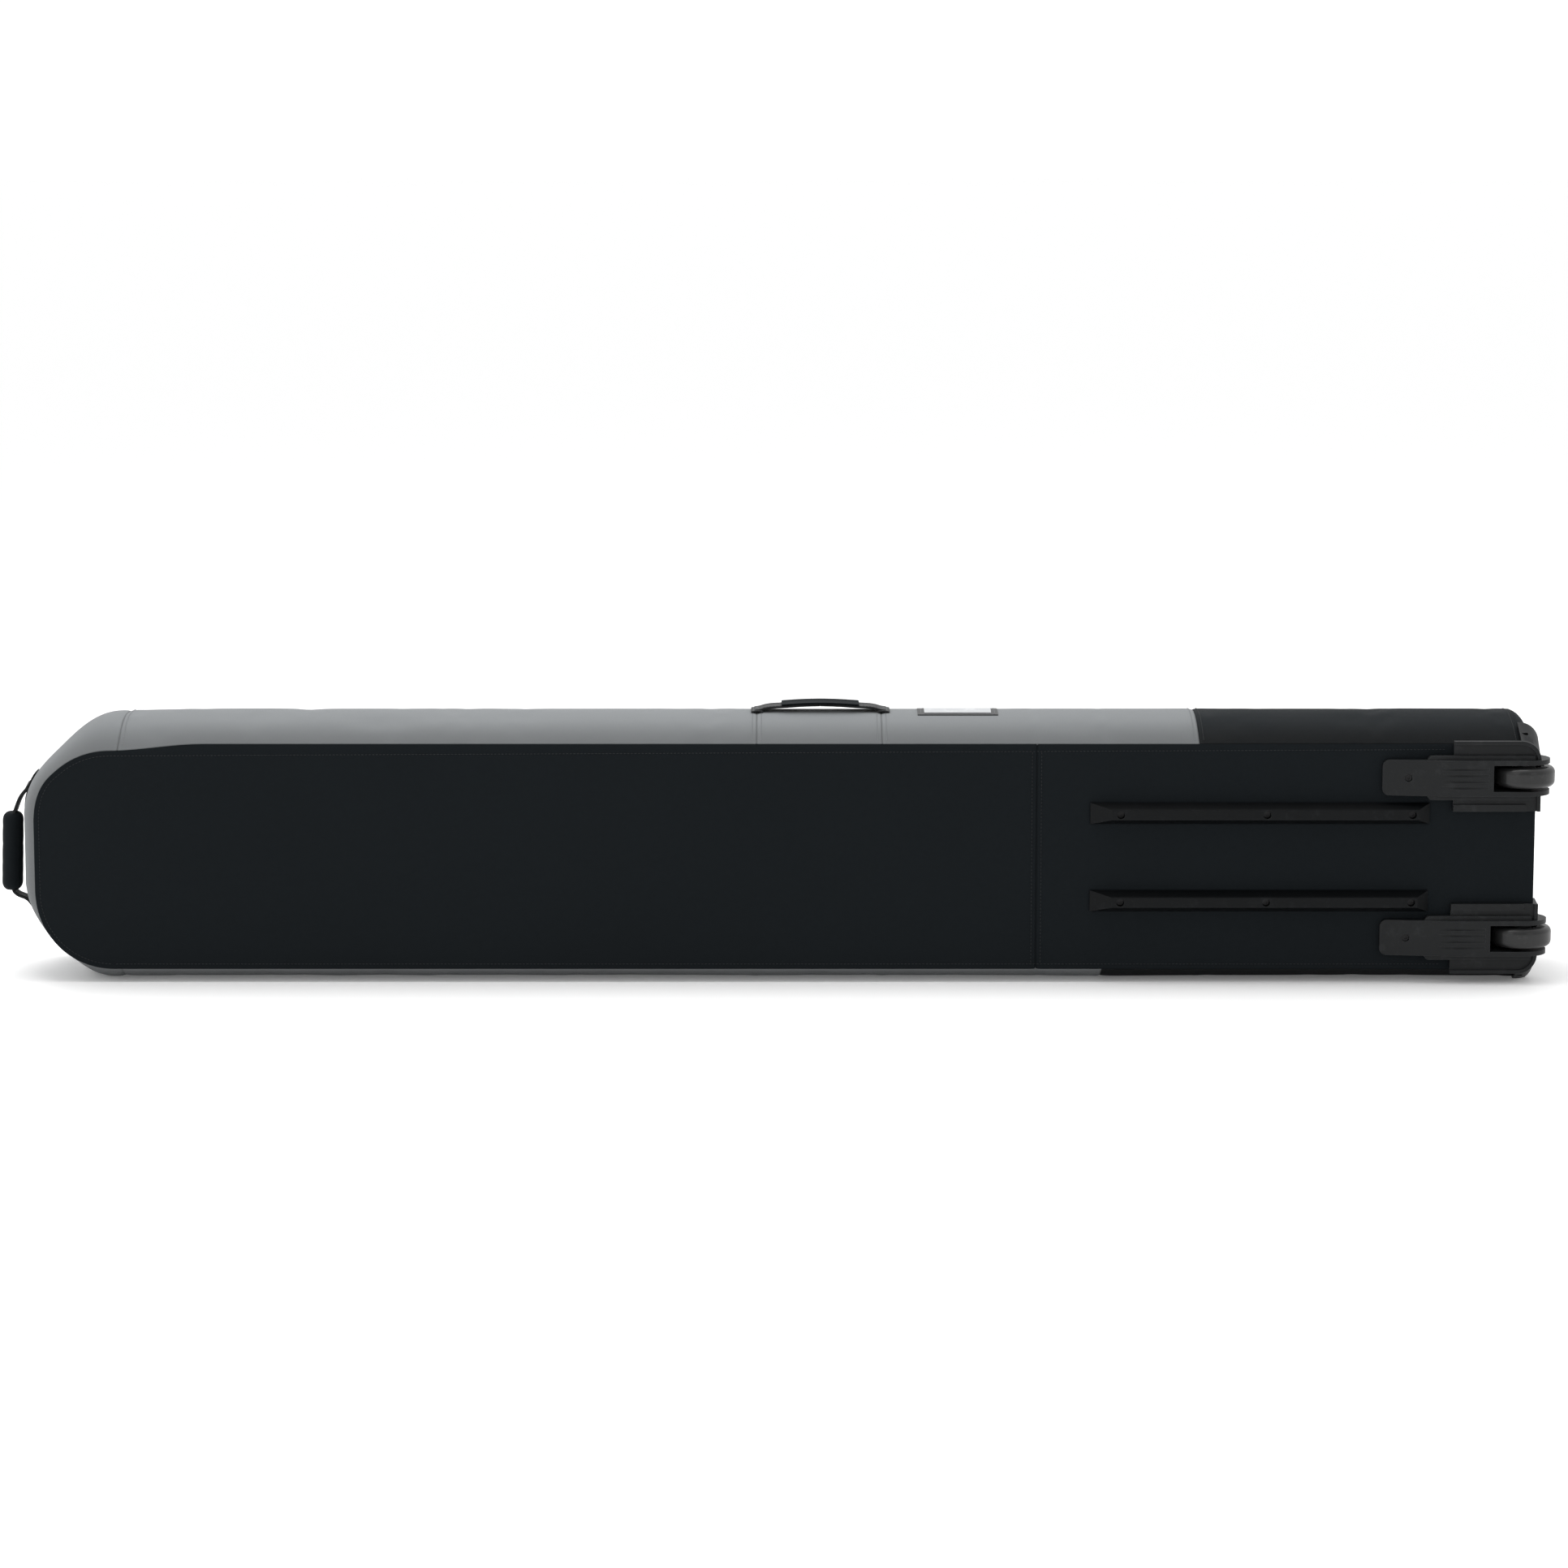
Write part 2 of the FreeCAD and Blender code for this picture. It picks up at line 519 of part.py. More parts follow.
def make_rail(side):
    """A skid rail: a ridge with sloping flanks and ramped ends, screwed down through deep recesses."""
    rail_z = RAIL_Z[side]

    def rectangle(y, x, half_width):
        corners = ((x[0], -half_width), (x[1], -half_width), (x[1], half_width), (x[0], half_width))
        points = [Vector(corner_x, y, rail_z + offset) for corner_x, offset in corners]
        return Part.makePolygon(points + points[:1])

    foot_y = -2.5
    top_x = (RAIL_X[0] + RAIL_RAMPS[0], RAIL_X[1] - RAIL_RAMPS[1])
    foot = Part.Face(rectangle(0, RAIL_X, RAIL_BASE_WIDTH / 2)).extrude(Vector(0, foot_y, 0))
    ridge = Part.makeLoft([rectangle(foot_y, RAIL_X, RAIL_BASE_WIDTH / 2),
                           rectangle(-RAIL_HIGH, top_x, RAIL_TOP_WIDTH / 2)], True, True)
    rail = foot.fuse(ridge).removeSplitter()
    crest = [edge for edge in rail.Edges if edge.BoundBox.YMax < -RAIL_HIGH + 0.1]
    rail = rail.makeFillet(1.5, crest)
    cuts = []
    for x in RAIL_SCREW_X:
        cuts.append(rod(SCREW_HEAD_R + 0.5, Vector(x, RAIL_SEAT_Y, rail_z), Vector(0, -20, 0)))
        cuts.append(rod(SCREW_R, Vector(x, -20, rail_z), Vector(0, 21, 0)))
    add(f"skid_rail_{side}", rail.cut(Part.makeCompound(cuts)))


def make_fasteners():
    """Screws through the rails and housings, and the washers behind the base board."""
    add("rail_screws", Part.makeCompound([screw(x, RAIL_SEAT_Y, z, SCREW_TIP_Y) for x, z in RAIL_SCREWS]))
    outer = [screw(x, TONGUE_SEAT_Y, z, SCREW_TIP_Y) for x, z in TONGUE_SCREWS]
    head_seat_y = BEHIND_BOARD_Y + WASHER_THICK
    inner = [screw(x, head_seat_y, z, -FLANGE_THICK + 1) for x, z in INNER_SCREWS]
    add("housing_screws", Part.makeCompound(outer + inner))
    washers = []
    for x, z in RAIL_SCREWS + TONGUE_SCREWS + INNER_SCREWS:
        start = Vector(x, BEHIND_BOARD_Y, z)
        washers.append(rod(WASHER_R - 0.5, start, Vector(0, WASHER_THICK, 0)).cut(
            rod(SCREW_R, start, Vector(0, WASHER_THICK, 0))))
    add("screw_washers", Part.makeCompound(washers))


def make_carry_handle():
    """A webbing handle arched over the upper side, and the doubled cloth under its sewn ends."""
    pads = []
    for end, away in zip(CARRY_X, (-1, 1)):
        x = sorted((end + away * ANCHOR_LENGTH / 2, end - away * ANCHOR_LENGTH / 2))
        pads.append(patch(ANCHOR_THICK, x, CARRY_Y))
    add("carry_handle_anchors", Part.makeCompound(pads))
    end_z = side_top(MID_DEPTH) + ANCHOR_THICK + CARRY_END_GAP
    middle_x = (CARRY_X[0] + CARRY_X[1]) / 2
    edges = []
    for lift in (0, CARRY_STRAP):
        ends = [Vector(x, CARRY_Y[0], end_z + lift) for x in CARRY_X]
        crest = Vector(middle_x, CARRY_Y[0], end_z + CARRY_RISE + lift)
        edges.append((Part.Arc(ends[0], crest, ends[1]).toShape(), ends))
    lower, upper = edges
    sides = [Part.LineSegment(lower[1][at], upper[1][at]).toShape() for at in (0, 1)]
    profile = Part.Face(Part.Wire([lower[0], sides[1], upper[0], sides[0]]))
    add("carry_handle_strap", profile.extrude(Vector(0, CARRY_Y[1] - CARRY_Y[0], 0)))


def make_label():
    """A sewn label beside the carry handle: a dark border and a plain light field."""
    add("label_border", patch(LABEL_THICK, LABEL_X, LABEL_Y))
    field_x = (LABEL_X[0] + LABEL_BORDER, LABEL_X[1] - LABEL_BORDER)
    field_y = (LABEL_Y[0] + LABEL_BORDER, LABEL_Y[1] - LABEL_BORDER)
    add("label_field", patch(LABEL_THICK / 2, field_x, field_y, LABEL_THICK))


def webbing(points, half_width):
    """Flat webbing along a path in the plane of the nose handle."""
    pieces = []
    for start, end in zip(points, points[1:]):
        along = Vector(end[0] - start[0], 0, end[1] - start[1])
        across = Vector(-along.z, 0, along.x).normalize() * (NOSE_STRAP / 2)
        first = Vector(start[0], MID_DEPTH - half_width, start[1])
        corners = [first - across, first + across, first + across + along, first - across + along]
        face = Part.Face(Part.makePolygon(corners + corners[:1]))
        pieces.append(face.extrude(Vector(0, 2 * half_width, 0)))
        pieces.append(rod(NOSE_STRAP / 2, first + along, Vector(0, 2 * half_width, 0)))
    return fused(pieces)


def make_nose_handle():
    """A grab handle across the nose, which swings to either side about its two anchors."""
    path = ((NOSE_CREST_X, NOSE_TOP_Z), (GRIP_TOP[0], GRIP_TOP[1]), (GRIP_LOW[0], GRIP_LOW[1]),
            (GRIP_LOW[0] + 3, GRIP_LOW[1] - 8), (NOSE_CREST_X, NOSE_LOW_Z))
    strap = webbing(path, NOSE_STRAP_HALF_WIDTH)
    pivot = Vector(NOSE_CREST_X, MID_DEPTH, 0)
    outside = box((-FAR, NOSE_CREST_X - NOSE_SWING_CLEAR), (0, BAG_DEPTH), (0, FAR))
    swinging = strap.common(outside).cut(rod(NOSE_SWING_R, pivot, Vector(0, 0, 400)))
    add("nose_handle_strap", swinging)
    clear_of_cloth = box((-FAR, NOSE_CREST_X), (0, BAG_DEPTH), (0, FAR))
    stubs = strap.common(rod(NOSE_STUB_R, pivot, Vector(0, 0, 400))).common(clear_of_cloth)
    pads = []
    for z in (NOSE_TOP_Z, NOSE_LOW_Z):
        pad = band(-ANCHOR_THICK, 0, MID_DEPTH - 14, MID_DEPTH + 14)
        pads.append(pad.common(box((-FAR, 0), (0, BAG_DEPTH), (z - 9, z + 9))))
    add("nose_handle_anchors", fused([*pads, *stubs.Solids]))
    along = Vector(GRIP_LOW[0] - GRIP_TOP[0], 0, GRIP_LOW[1] - GRIP_TOP[1])
    ellipse = Part.Ellipse(Vector(0, GRIP_HALF[1], 0), Vector(GRIP_HALF[0], 0, 0), Vector(0, 0, 0))
    grip = Part.Face(Part.Wire(ellipse.toShape())).extrude(Vector(0, 0, along.Length))
    grip = grip.makeFillet(4, [edge for edge in grip.Edges if edge.BoundBox.ZLength < 1])
    tilt = math.degrees(math.atan2(along.x, along.z)) - 180
    grip.rotate(Vector(0, 0, 0), Vector(0, 1, 0), tilt)
    grip.translate(Vector(GRIP_LOW[0], MID_DEPTH, GRIP_LOW[1]))
    add("nose_handle_grip", grip.cut(strap))


def place_on_zipper(shape, x):
    """Move a piece made about its own origin onto the zipper's line, tilted with the cloth."""
    slope = (side_top(ZIP_END_Y) - side_top(ZIP_START_Y)) / (ZIP_END_Y - ZIP_START_Y)
    shape.rotate(Vector(0, 0, 0), Vector(1, 0, 0), math.degrees(math.atan(slope)))
    shape.translate(Vector(x, ZIP_MID_Y, side_top(ZIP_MID_Y)))
    return shape


def make_slider(name, away):
    """A zipper slider with its pull tab, which points away from the other slider."""
    half = SLIDER_HALF_WIDTH
    length = (-SLIDER_LENGTH / 2, SLIDER_LENGTH / 2)
    low, high = SLIDER_CHANNEL
    lower_plate = box(length, (-half, half), (low - SLIDER_PLATE, low))
    upper_plate = box(length, (-half, half), (high, high + SLIDER_PLATE))
    front = -away * SLIDER_LENGTH / 2
    post_x = sorted((front, front + away * POST_LENGTH))
    post = box(post_x, (-POST_HALF_WIDTH, POST_HALF_WIDTH), (low, high))
    pieces = [lower_plate, upper_plate, post]
    for edge in (-1, 1):
        lip_y = sorted((edge * half, edge * (half - LIP)))
        pieces.append(box(length, lip_y, (high - LIP, high)))
        lug_y = sorted((edge * LUG_INNER, edge * LUG_OUTER))
        pieces.append(box((-2.0, 2.0), lug_y, (high, BAR_HEIGHT + 1.6)))
    pieces.append(rod(BAR_R, Vector(0, -LUG_OUTER, BAR_HEIGHT), Vector(0, 2 * LUG_OUTER, 0)))
    middle_x = SLIDERS_MEET_X + away * (SLIDER_LENGTH / 2 + 0.5)
    add(f"zipper_slider_{name}", place_on_zipper(fused(pieces), middle_x))
    eye_half = LUG_INNER - SEAL_GAP
    eye = rod(BAR_R + 1.1, Vector(0, -eye_half, 0), Vector(0, 2 * eye_half, 0))
    neck = box(sorted((0, away * 6)), (-eye_half, eye_half), (-TAB_THICK / 2, TAB_THICK / 2))
    blade_x = sorted((away * 5, away * TAB_LENGTH))
    blade = box(blade_x, (-TAB_HALF_WIDTH, TAB_HALF_WIDTH), (-TAB_THICK / 2, TAB_THICK / 2))
    blade = blade.makeFillet(2.5, [edge for edge in blade.Edges if edge.BoundBox.ZLength > 1])
    bore = rod(BAR_R + BAR_FIT, Vector(0, -half, 0), Vector(0, 2 * half, 0))
    hole = rod(2.0, Vector(away * (TAB_LENGTH - 6), 0, -2), Vector(0, 0, 4))
    tab = fused([eye, neck, blade]).cut(bore).cut(hole)
    tab.rotate(Vector(0, 0, 0), Vector(0, 1, 0), away * TAB_DROOP_DEG)
    tab.translate(Vector(0, 0, BAR_HEIGHT))
    add(f"pull_tab_{name}", place_on_zipper(tab, middle_x))


def make_board_straps():
    """Webbing sewn to the inside at its outer ends, joined by buckles that click together."""
    lower_webbing = []
    upper_webbing = []
    sockets = []
    for name, x in zip(("front", "rear"), STRAP_X):
        across = (x - STRAP_HALF_WIDTH, x + STRAP_HALF_WIDTH)
        lies = (BASE_STACK, BASE_STACK + STRAP_THICK)
        plug_low_z = BUCKLE_Z - BUCKLE_GAP - PLUG_LENGTH
        lower_webbing.append(box(across, lies, (STRAP_ENDS_Z[0], plug_low_z + PLUG_LENGTH / 2)))
        upper_webbing.append(box(across, lies, (BUCKLE_Z + SOCKET_LENGTH, STRAP_ENDS_Z[1])))
        shell_x = (x - BUCKLE_HALF_WIDTH, x + BUCKLE_HALF_WIDTH)
        shell_y = (BASE_STACK, BASE_STACK + BUCKLE_THICK)
        shell = box(shell_x, shell_y, (BUCKLE_Z, BUCKLE_Z + SOCKET_LENGTH))
        shell = shell.makeFillet(2, [edge for edge in shell.Edges if edge.BoundBox.YMin > BASE_STACK + 1])
        prong_y = (BASE_STACK + 2.6, BASE_STACK + 7.4)
        room = box((x - 12, x + 12), (prong_y[0] - BUCKLE_GAP, prong_y[1] + BUCKLE_GAP),
                   (BUCKLE_Z - 1, BUCKLE_Z + PRONG_LENGTH + 2))
        sockets.append(shell.cut(room))
        plug = [box(shell_x, (lies[1] + BUCKLE_GAP, shell_y[1]), (plug_low_z, BUCKLE_Z - BUCKLE_GAP))]
        for edge in (-1, 1):
            prong_x = sorted((x + edge * 6, x + edge * 11.6))
            plug.append(box(prong_x, prong_y, (BUCKLE_Z - BUCKLE_GAP - 1, BUCKLE_Z + PRONG_LENGTH)))
        add(f"buckle_plug_{name}", fused(plug))
    add("strap_webbing_lower", Part.makeCompound(lower_webbing))
    add("strap_webbing_upper", Part.makeCompound(upper_webbing))
    add("buckle_sockets", Part.makeCompound(sockets))


wells, wells_and_holes, wells_and_pockets = make_cutters()
make_base(wells, wells_and_holes, wells_and_pockets)
make_gusset(wells)
make_zipper_band()
make_lid()
for side in ("upper", "lower"):
    make_housing(side)
    make_wheel(side)
    make_rail(side)
make_axles()
make_fasteners()
make_carry_handle()
make_label()
make_nose_handle()
make_slider("nose", -1)
make_slider("tail", 1)
make_board_straps()

os.makedirs("parts", exist_ok=True)
for name, shape in parts.items():
    shape.translate(ORIGIN * -1)
    shape.exportStep(f"parts/{name}.step")
print(len(parts), "nodes, origin moved by", ORIGIN)
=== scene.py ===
import math

import bmesh
import bpy
from mathutils import Matrix, Vector
from mathutils.bvhtree import BVHTree


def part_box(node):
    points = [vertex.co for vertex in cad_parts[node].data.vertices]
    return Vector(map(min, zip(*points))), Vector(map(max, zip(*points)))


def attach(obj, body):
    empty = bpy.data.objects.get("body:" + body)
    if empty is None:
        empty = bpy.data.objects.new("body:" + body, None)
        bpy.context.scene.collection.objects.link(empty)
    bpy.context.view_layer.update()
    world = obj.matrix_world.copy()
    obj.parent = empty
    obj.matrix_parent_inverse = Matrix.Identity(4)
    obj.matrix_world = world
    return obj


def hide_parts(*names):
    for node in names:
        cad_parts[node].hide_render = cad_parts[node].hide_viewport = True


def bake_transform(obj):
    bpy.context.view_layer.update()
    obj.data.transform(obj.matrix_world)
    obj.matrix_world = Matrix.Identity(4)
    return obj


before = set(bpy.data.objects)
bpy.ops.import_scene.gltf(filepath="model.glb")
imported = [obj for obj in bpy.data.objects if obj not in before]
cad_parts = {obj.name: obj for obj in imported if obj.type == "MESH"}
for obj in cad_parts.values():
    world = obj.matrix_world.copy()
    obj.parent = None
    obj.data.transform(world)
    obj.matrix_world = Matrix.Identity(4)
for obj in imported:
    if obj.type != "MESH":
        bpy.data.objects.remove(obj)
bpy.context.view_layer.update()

bpy.ops.object.select_all(action="DESELECT")


# The room: a pale seamless floor that carries on past the view, a broad soft light from
# above, a weaker one from each side, and a long lens a few paces in front of the base.
VIEW_DISTANCE = 5.6
VIEW_ELEVATION = math.radians(9)
PICTURE_WIDTH = 1.8354
FLOOR_SIZE = 60.0
FRONT_LIGHT = 0.45
BACK_LIGHT = 1.08

base_low, base_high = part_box("base_front_panel")
lid_low, lid_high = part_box("lid_panel")
floor_low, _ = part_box("gusset_bottom_front")
BASE_Y = base_low.y
LID_Y = lid_high.y
BOTTOM_SEAM_Z = base_low.z
TOP_SEAM_Z = base_high.z
MID_Z = (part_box("skid_rail_upper")[1].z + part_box("skid_rail_lower")[0].z) / 2


def fill_inputs(node, values):
    """Set several inputs of a shader node by their names."""
    for name, value in values.items():
        node.inputs[name].default_value = value


def node_material(name):
    """A new material with only its Principled shader and output."""
    material = bpy.data.materials.new(name)
    material.use_nodes = True
    shader = material.node_tree.nodes["Principled BSDF"]
    return material, material.node_tree.nodes, material.node_tree.links, shader


bpy.ops.mesh.primitive_plane_add(size=FLOOR_SIZE, location=(0, 0, 0))
floor = bpy.context.object
floor.name = "floor"
floor_material, nodes, links, shader = node_material("pale_floor")
fill_inputs(shader, {"Base Color": (0.97, 0.97, 0.97, 1), "Roughness": 0.6, "Emission Color": (1, 1, 1, 1),
                     "Emission Strength": 0.10})
floor.data.materials.append(floor_material)

world = bpy.data.worlds.new("soft_white_room")
world.use_nodes = True
backdrop = world.node_tree.nodes["Background"]
backdrop.inputs["Color"].default_value = (1, 1, 1, 1)
direction = world.node_tree.nodes.new("ShaderNodeTexCoord")
direction_parts = world.node_tree.nodes.new("ShaderNodeSeparateXYZ")
fade = world.node_tree.nodes.new("ShaderNodeMapRange")
fill_inputs(fade, {"From Min": -0.9, "From Max": 0.15, "To Min": FRONT_LIGHT, "To Max": BACK_LIGHT})
world.node_tree.links.new(direction.outputs["Generated"], direction_parts.inputs[0])
world.node_tree.links.new(direction_parts.outputs[1], fade.inputs["Value"])
world.node_tree.links.new(fade.outputs["Result"], backdrop.inputs["Strength"])
bpy.context.scene.world = world
bpy.context.scene.view_settings.view_transform = "Standard"


def soft_light(name, place, aim, size, power):
    """A square soft box that points at aim."""
    lamp = bpy.data.lights.new(name, "AREA")
    lamp.size = size
    lamp.energy = power
    holder = bpy.data.objects.new(name, lamp)
    holder.location = place
    holder.rotation_euler = (Vector(aim) - Vector(place)).to_track_quat("-Z", "Y").to_euler()
    bpy.context.collection.objects.link(holder)
    return holder


soft_light("overhead_box", (-0.3, 0.5, 2.4), (-0.1, 0, 0.15), 2.6, 62)
soft_light("front_left_box", (-2.2, -3.0, 1.8), (0, 0, 0.15), 1.6, 10)
soft_light("front_right_box", (2.4, -2.6, 1.4), (0, 0, 0.15), 1.2, 6)

lens_holder = bpy.data.cameras.new("camera")
lens_holder.lens = lens_holder.sensor_width / 2 / (PICTURE_WIDTH / 2 / VIEW_DISTANCE)
lens_holder.clip_end = 100
camera = bpy.data.objects.new("camera", lens_holder)
aim = Vector((0.015, BASE_Y, MID_Z + 0.0866))
back = Vector((0, -math.cos(VIEW_ELEVATION), math.sin(VIEW_ELEVATION)))
camera.location = aim + back * VIEW_DISTANCE
camera.rotation_euler = (-back).to_track_quat("-Z", "Y").to_euler()
bpy.context.collection.objects.link(camera)
bpy.context.scene.camera = camera


# The woven cloths: a heavy coated polyester in black for the base and the tail, and the
# same weave in mid grey for the long side wall. Warp and weft show as fine ribs, the
# coating gives a faint sheen, and dust and rubbing lighten it unevenly. The wall cloths
# are also darkened towards the base seam as painted shade.
THREAD = 0.00085
PAINTED_SHADE_REACH = 0.055


def effect_group(name, inputs, outputs):
    """An empty shader group with its sockets: (name, kind, default) and (name, kind)."""
    group = bpy.data.node_groups.new(name, "ShaderNodeTree")
    for label, kind, default in inputs:
        socket = group.interface.new_socket(name=label, in_out="INPUT", socket_type=kind)
        if default is not None:
            socket.default_value = default
    for label, kind in outputs:
        group.interface.new_socket(name=label, in_out="OUTPUT", socket_type=kind)
    return group, group.nodes.new("NodeGroupInput"), group.nodes.new("NodeGroupOutput")


def add_node(tree_nodes, kind, **settings):
    """A node with its plain settings made in one call."""
    node = tree_nodes.new(kind)
    for label, value in settings.items():
        setattr(node, label, value)
    return node


def math_node(tree, operation, first, second=None):
    """A Math node fed by sockets or numbers, and its output."""
    node = tree.nodes.new("ShaderNodeMath")
    node.operation = operation
    for slot_at, value in enumerate((first, second)):
        if value is None:
            continue
        if isinstance(value, (int, float)):
            node.inputs[slot_at].default_value = value
        else:
            tree.links.new(value, node.inputs[slot_at])
    return node.outputs[0]


def make_weave_group():
    """Height and shade of an over-and-under weave, from a position in metres and a thread width."""
    group, inside, outside = effect_group(
        "plain_weave",
        [("Position", "NodeSocketVector", None), ("Thread", "NodeSocketFloat", THREAD)],
        [("Height", "NodeSocketFloat"), ("Shade", "NodeSocketFloat")],
    )
    split = group.nodes.new("ShaderNodeSeparateXYZ")
    group.links.new(inside.outputs["Position"], split.inputs[0])
    across = math_node(group, "DIVIDE", split.outputs[0], inside.outputs["Thread"])
    along = math_node(group, "DIVIDE", split.outputs[1], inside.outputs["Thread"])
    warp = math_node(group, "ABSOLUTE", math_node(group, "SINE",
                                                  math_node(group, "MULTIPLY", across, math.pi)))
    weft = math_node(group, "ABSOLUTE", math_node(group, "SINE",
                                                  math_node(group, "MULTIPLY", along, math.pi)))
    parity = math_node(group, "ADD", math_node(group, "FLOOR", across), math_node(group, "FLOOR", along))
    over = math_node(group, "FLOORED_MODULO", parity, 2.0)
    under = math_node(group, "SUBTRACT", 1.0, over)
    top = math_node(group, "ADD", math_node(group, "MULTIPLY", warp, over),
                    math_node(group, "MULTIPLY", weft, under))
    group.links.new(top, outside.inputs["Height"])
    noise = add_node(group.nodes, "ShaderNodeTexNoise", noise_dimensions="3D")
    fill_inputs(noise, {"Scale": 9.0, "Detail": 5.0})
    group.links.new(inside.outputs["Position"], noise.inputs["Vector"])
    group.links.new(noise.outputs["Fac"], outside.inputs["Shade"])
    return group


weave_group = make_weave_group()


def cloth_material(name, dark, light, roughness, sheen, thread=THREAD, weave_depth=0.25, painted_seam_shade=1.0,
                   specular=0.2):
    """Woven cloth between two shades, with the weave laid along the piece's own UV map and painted shade that
    darkens it towards the base seam.
    """
    material, nodes, links, shader = node_material(name)
    cut = add_node(nodes, "ShaderNodeUVMap", uv_map="cut")
    weave = nodes.new("ShaderNodeGroup")
    weave.node_tree = weave_group
    weave.inputs["Thread"].default_value = thread
    links.new(cut.outputs["UV"], weave.inputs["Position"])
    place = nodes.new("ShaderNodeTexCoord")
    cloud = nodes.new("ShaderNodeTexNoise")
    fill_inputs(cloud, {"Scale": 6.0, "Detail": 4.0})
    links.new(place.outputs["Object"], cloud.inputs["Vector"])
    shade = nodes.new("ShaderNodeMix")
    shade.data_type = "RGBA"
    fill_inputs(shade, {"A": (*dark, 1), "B": (*light, 1)})
    mixed = math_node(material.node_tree, "ADD",
                      math_node(material.node_tree, "MULTIPLY", weave.outputs["Height"], 0.55),
                      math_node(material.node_tree, "MULTIPLY", cloud.outputs["Fac"], 0.45))
    links.new(mixed, shade.inputs["Factor"])
    cut_parts = nodes.new("ShaderNodeSeparateXYZ")
    links.new(cut.outputs["UV"], cut_parts.inputs[0])
    # Painted shade: the colour is multiplied down towards the base seam, over the first stretch of the wall's
    # depth.
    painted_shade_ramp = nodes.new("ShaderNodeMapRange")
    painted_shade_ramp.interpolation_type = "SMOOTHSTEP"
    fill_inputs(painted_shade_ramp, {"From Min": BASE_Y, "From Max": BASE_Y + PAINTED_SHADE_REACH, "To Min": painted_seam_shade,
                         "To Max": 1.0})
    links.new(cut_parts.outputs[1], painted_shade_ramp.inputs["Value"])
    painted_shade_mix = add_node(nodes, "ShaderNodeMix", data_type="RGBA", blend_type="MULTIPLY")
    painted_shade_mix.inputs["Factor"].default_value = 1.0
    links.new(shade.outputs["Result"], painted_shade_mix.inputs["A"])
    links.new(painted_shade_ramp.outputs["Result"], painted_shade_mix.inputs["B"])
    links.new(painted_shade_mix.outputs["Result"], shader.inputs["Base Color"])
    rough = nodes.new("ShaderNodeMapRange")
    fill_inputs(rough, {"To Min": roughness - 0.08, "To Max": roughness + 0.08})
    links.new(cloud.outputs["Fac"], rough.inputs["Value"])
    links.new(rough.outputs["Result"], shader.inputs["Roughness"])
    bump = nodes.new("ShaderNodeBump")
    fill_inputs(bump, {"Strength": 0.6, "Distance": thread * weave_depth})
    links.new(weave.outputs["Height"], bump.inputs["Height"])
    links.new(bump.outputs["Normal"], shader.inputs["Normal"])
    fill_inputs(shader, {"Sheen Weight": sheen, "Sheen Roughness": 0.5, "Specular IOR Level": specular})
    return material


black_cloth = cloth_material("black_cloth", (0.0046, 0.0064, 0.0078), (0.0098, 0.0124, 0.0144), 0.70, 0.006,
                             specular=0.06)
# The wall cloths below carry painted shade and grow darker towards the base seam.
grey_cloth = cloth_material("grey_cloth", (0.134, 0.142, 0.147), (0.204, 0.215, 0.221), 0.78, 0.06,
                            painted_seam_shade=0.62)
black_wall_cloth = cloth_material("black_wall_cloth", (0.0046, 0.0064, 0.0078), (0.0100, 0.0126, 0.0146),
                                  0.70, 0.006, painted_seam_shade=0.35, specular=0.06)


# The bag's body: one base panel and one side wall sewn round its edge, in padded cloth.
# It is laid out flat, its edge is drawn up into the wall row by row, the wall is bulged
# between its seams, and the cloth is then left to settle between the rows that hold it.
NOSE_R = 0.090
TAIL_R = 0.018
NOSE_X = base_low.x
TAIL_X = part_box("base_tail_panel")[1].x
WALL_END_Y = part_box("gusset_top_front")[1].y
WALL_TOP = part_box("gusset_top_front")[1].z - TOP_SEAM_Z
WALL_DEPTH = WALL_END_Y - BASE_Y
NOSE_BULGE = 0.023
NOSE_TOP_PULL = 0.5
NOSE_LOW_PULL = 0.65
TAIL_BULGE = 0.0035
CELL = 0.0105
HALF_HEIGHT = (TOP_SEAM_Z - BOTTOM_SEAM_Z) / 2
BASE_SEAM_X = base_high.x
NOSE_SEAM_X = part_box("gusset_nose")[1].x
HANDLE_SEAM_X = [corner.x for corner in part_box("gusset_handle_panel")]
TOP_BLACK_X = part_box("gusset_top_tail")[0].x
BOTTOM_BLACK_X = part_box("gusset_bottom_tail")[0].x
TAIL_SEAM_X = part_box("tail_wall")[0].x
SEAM_HALF = 0.0035
SEAM_SINK = 0.0013
CLOTH_THICK = 0.0013
FLOOR_CLEAR = 0.0002
NOSE_DROOP = 0.008
WHEEL_SIDE = 0.095
WELL_CUT_HALF = 0.018
WELL_CUT_X = 0.841
WELL_CUT_DEPTH = 0.055
WELL_OUTER = WHEEL_SIDE + WELL_CUT_HALF
WELL_INNER = WHEEL_SIDE - WELL_CUT_HALF


def spread(stops, step):
    """Places that include every stop, evenly spaced between them and no further apart than step."""
    places = []
    for here, following in zip(stops, stops[1:]):
        parts = max(1, math.ceil((following - here) / step - 0.01))
        places += [here + (following - here) * part / parts for part in range(parts)]
    return places + [stops[-1]]


def wall_share(depth):
    """The share of the wall's full bulge at a depth from the base."""
    half = (LID_Y - BASE_Y) / 2
    return max(0.0, 1 - ((depth - half) / half) ** 2)


def corner_drop(x):
    """How far the outline has come in from the straight sides at a place along the bag."""
    into_nose = (NOSE_X + NOSE_R) - x
    into_tail = x - (TAIL_X - TAIL_R)
    if into_nose > 0:
        return NOSE_R - math.sqrt(max(0.0, NOSE_R ** 2 - into_nose ** 2))
    if into_tail > 0:
        return TAIL_R - math.sqrt(max(0.0, TAIL_R ** 2 - into_tail ** 2))
    return 0.0


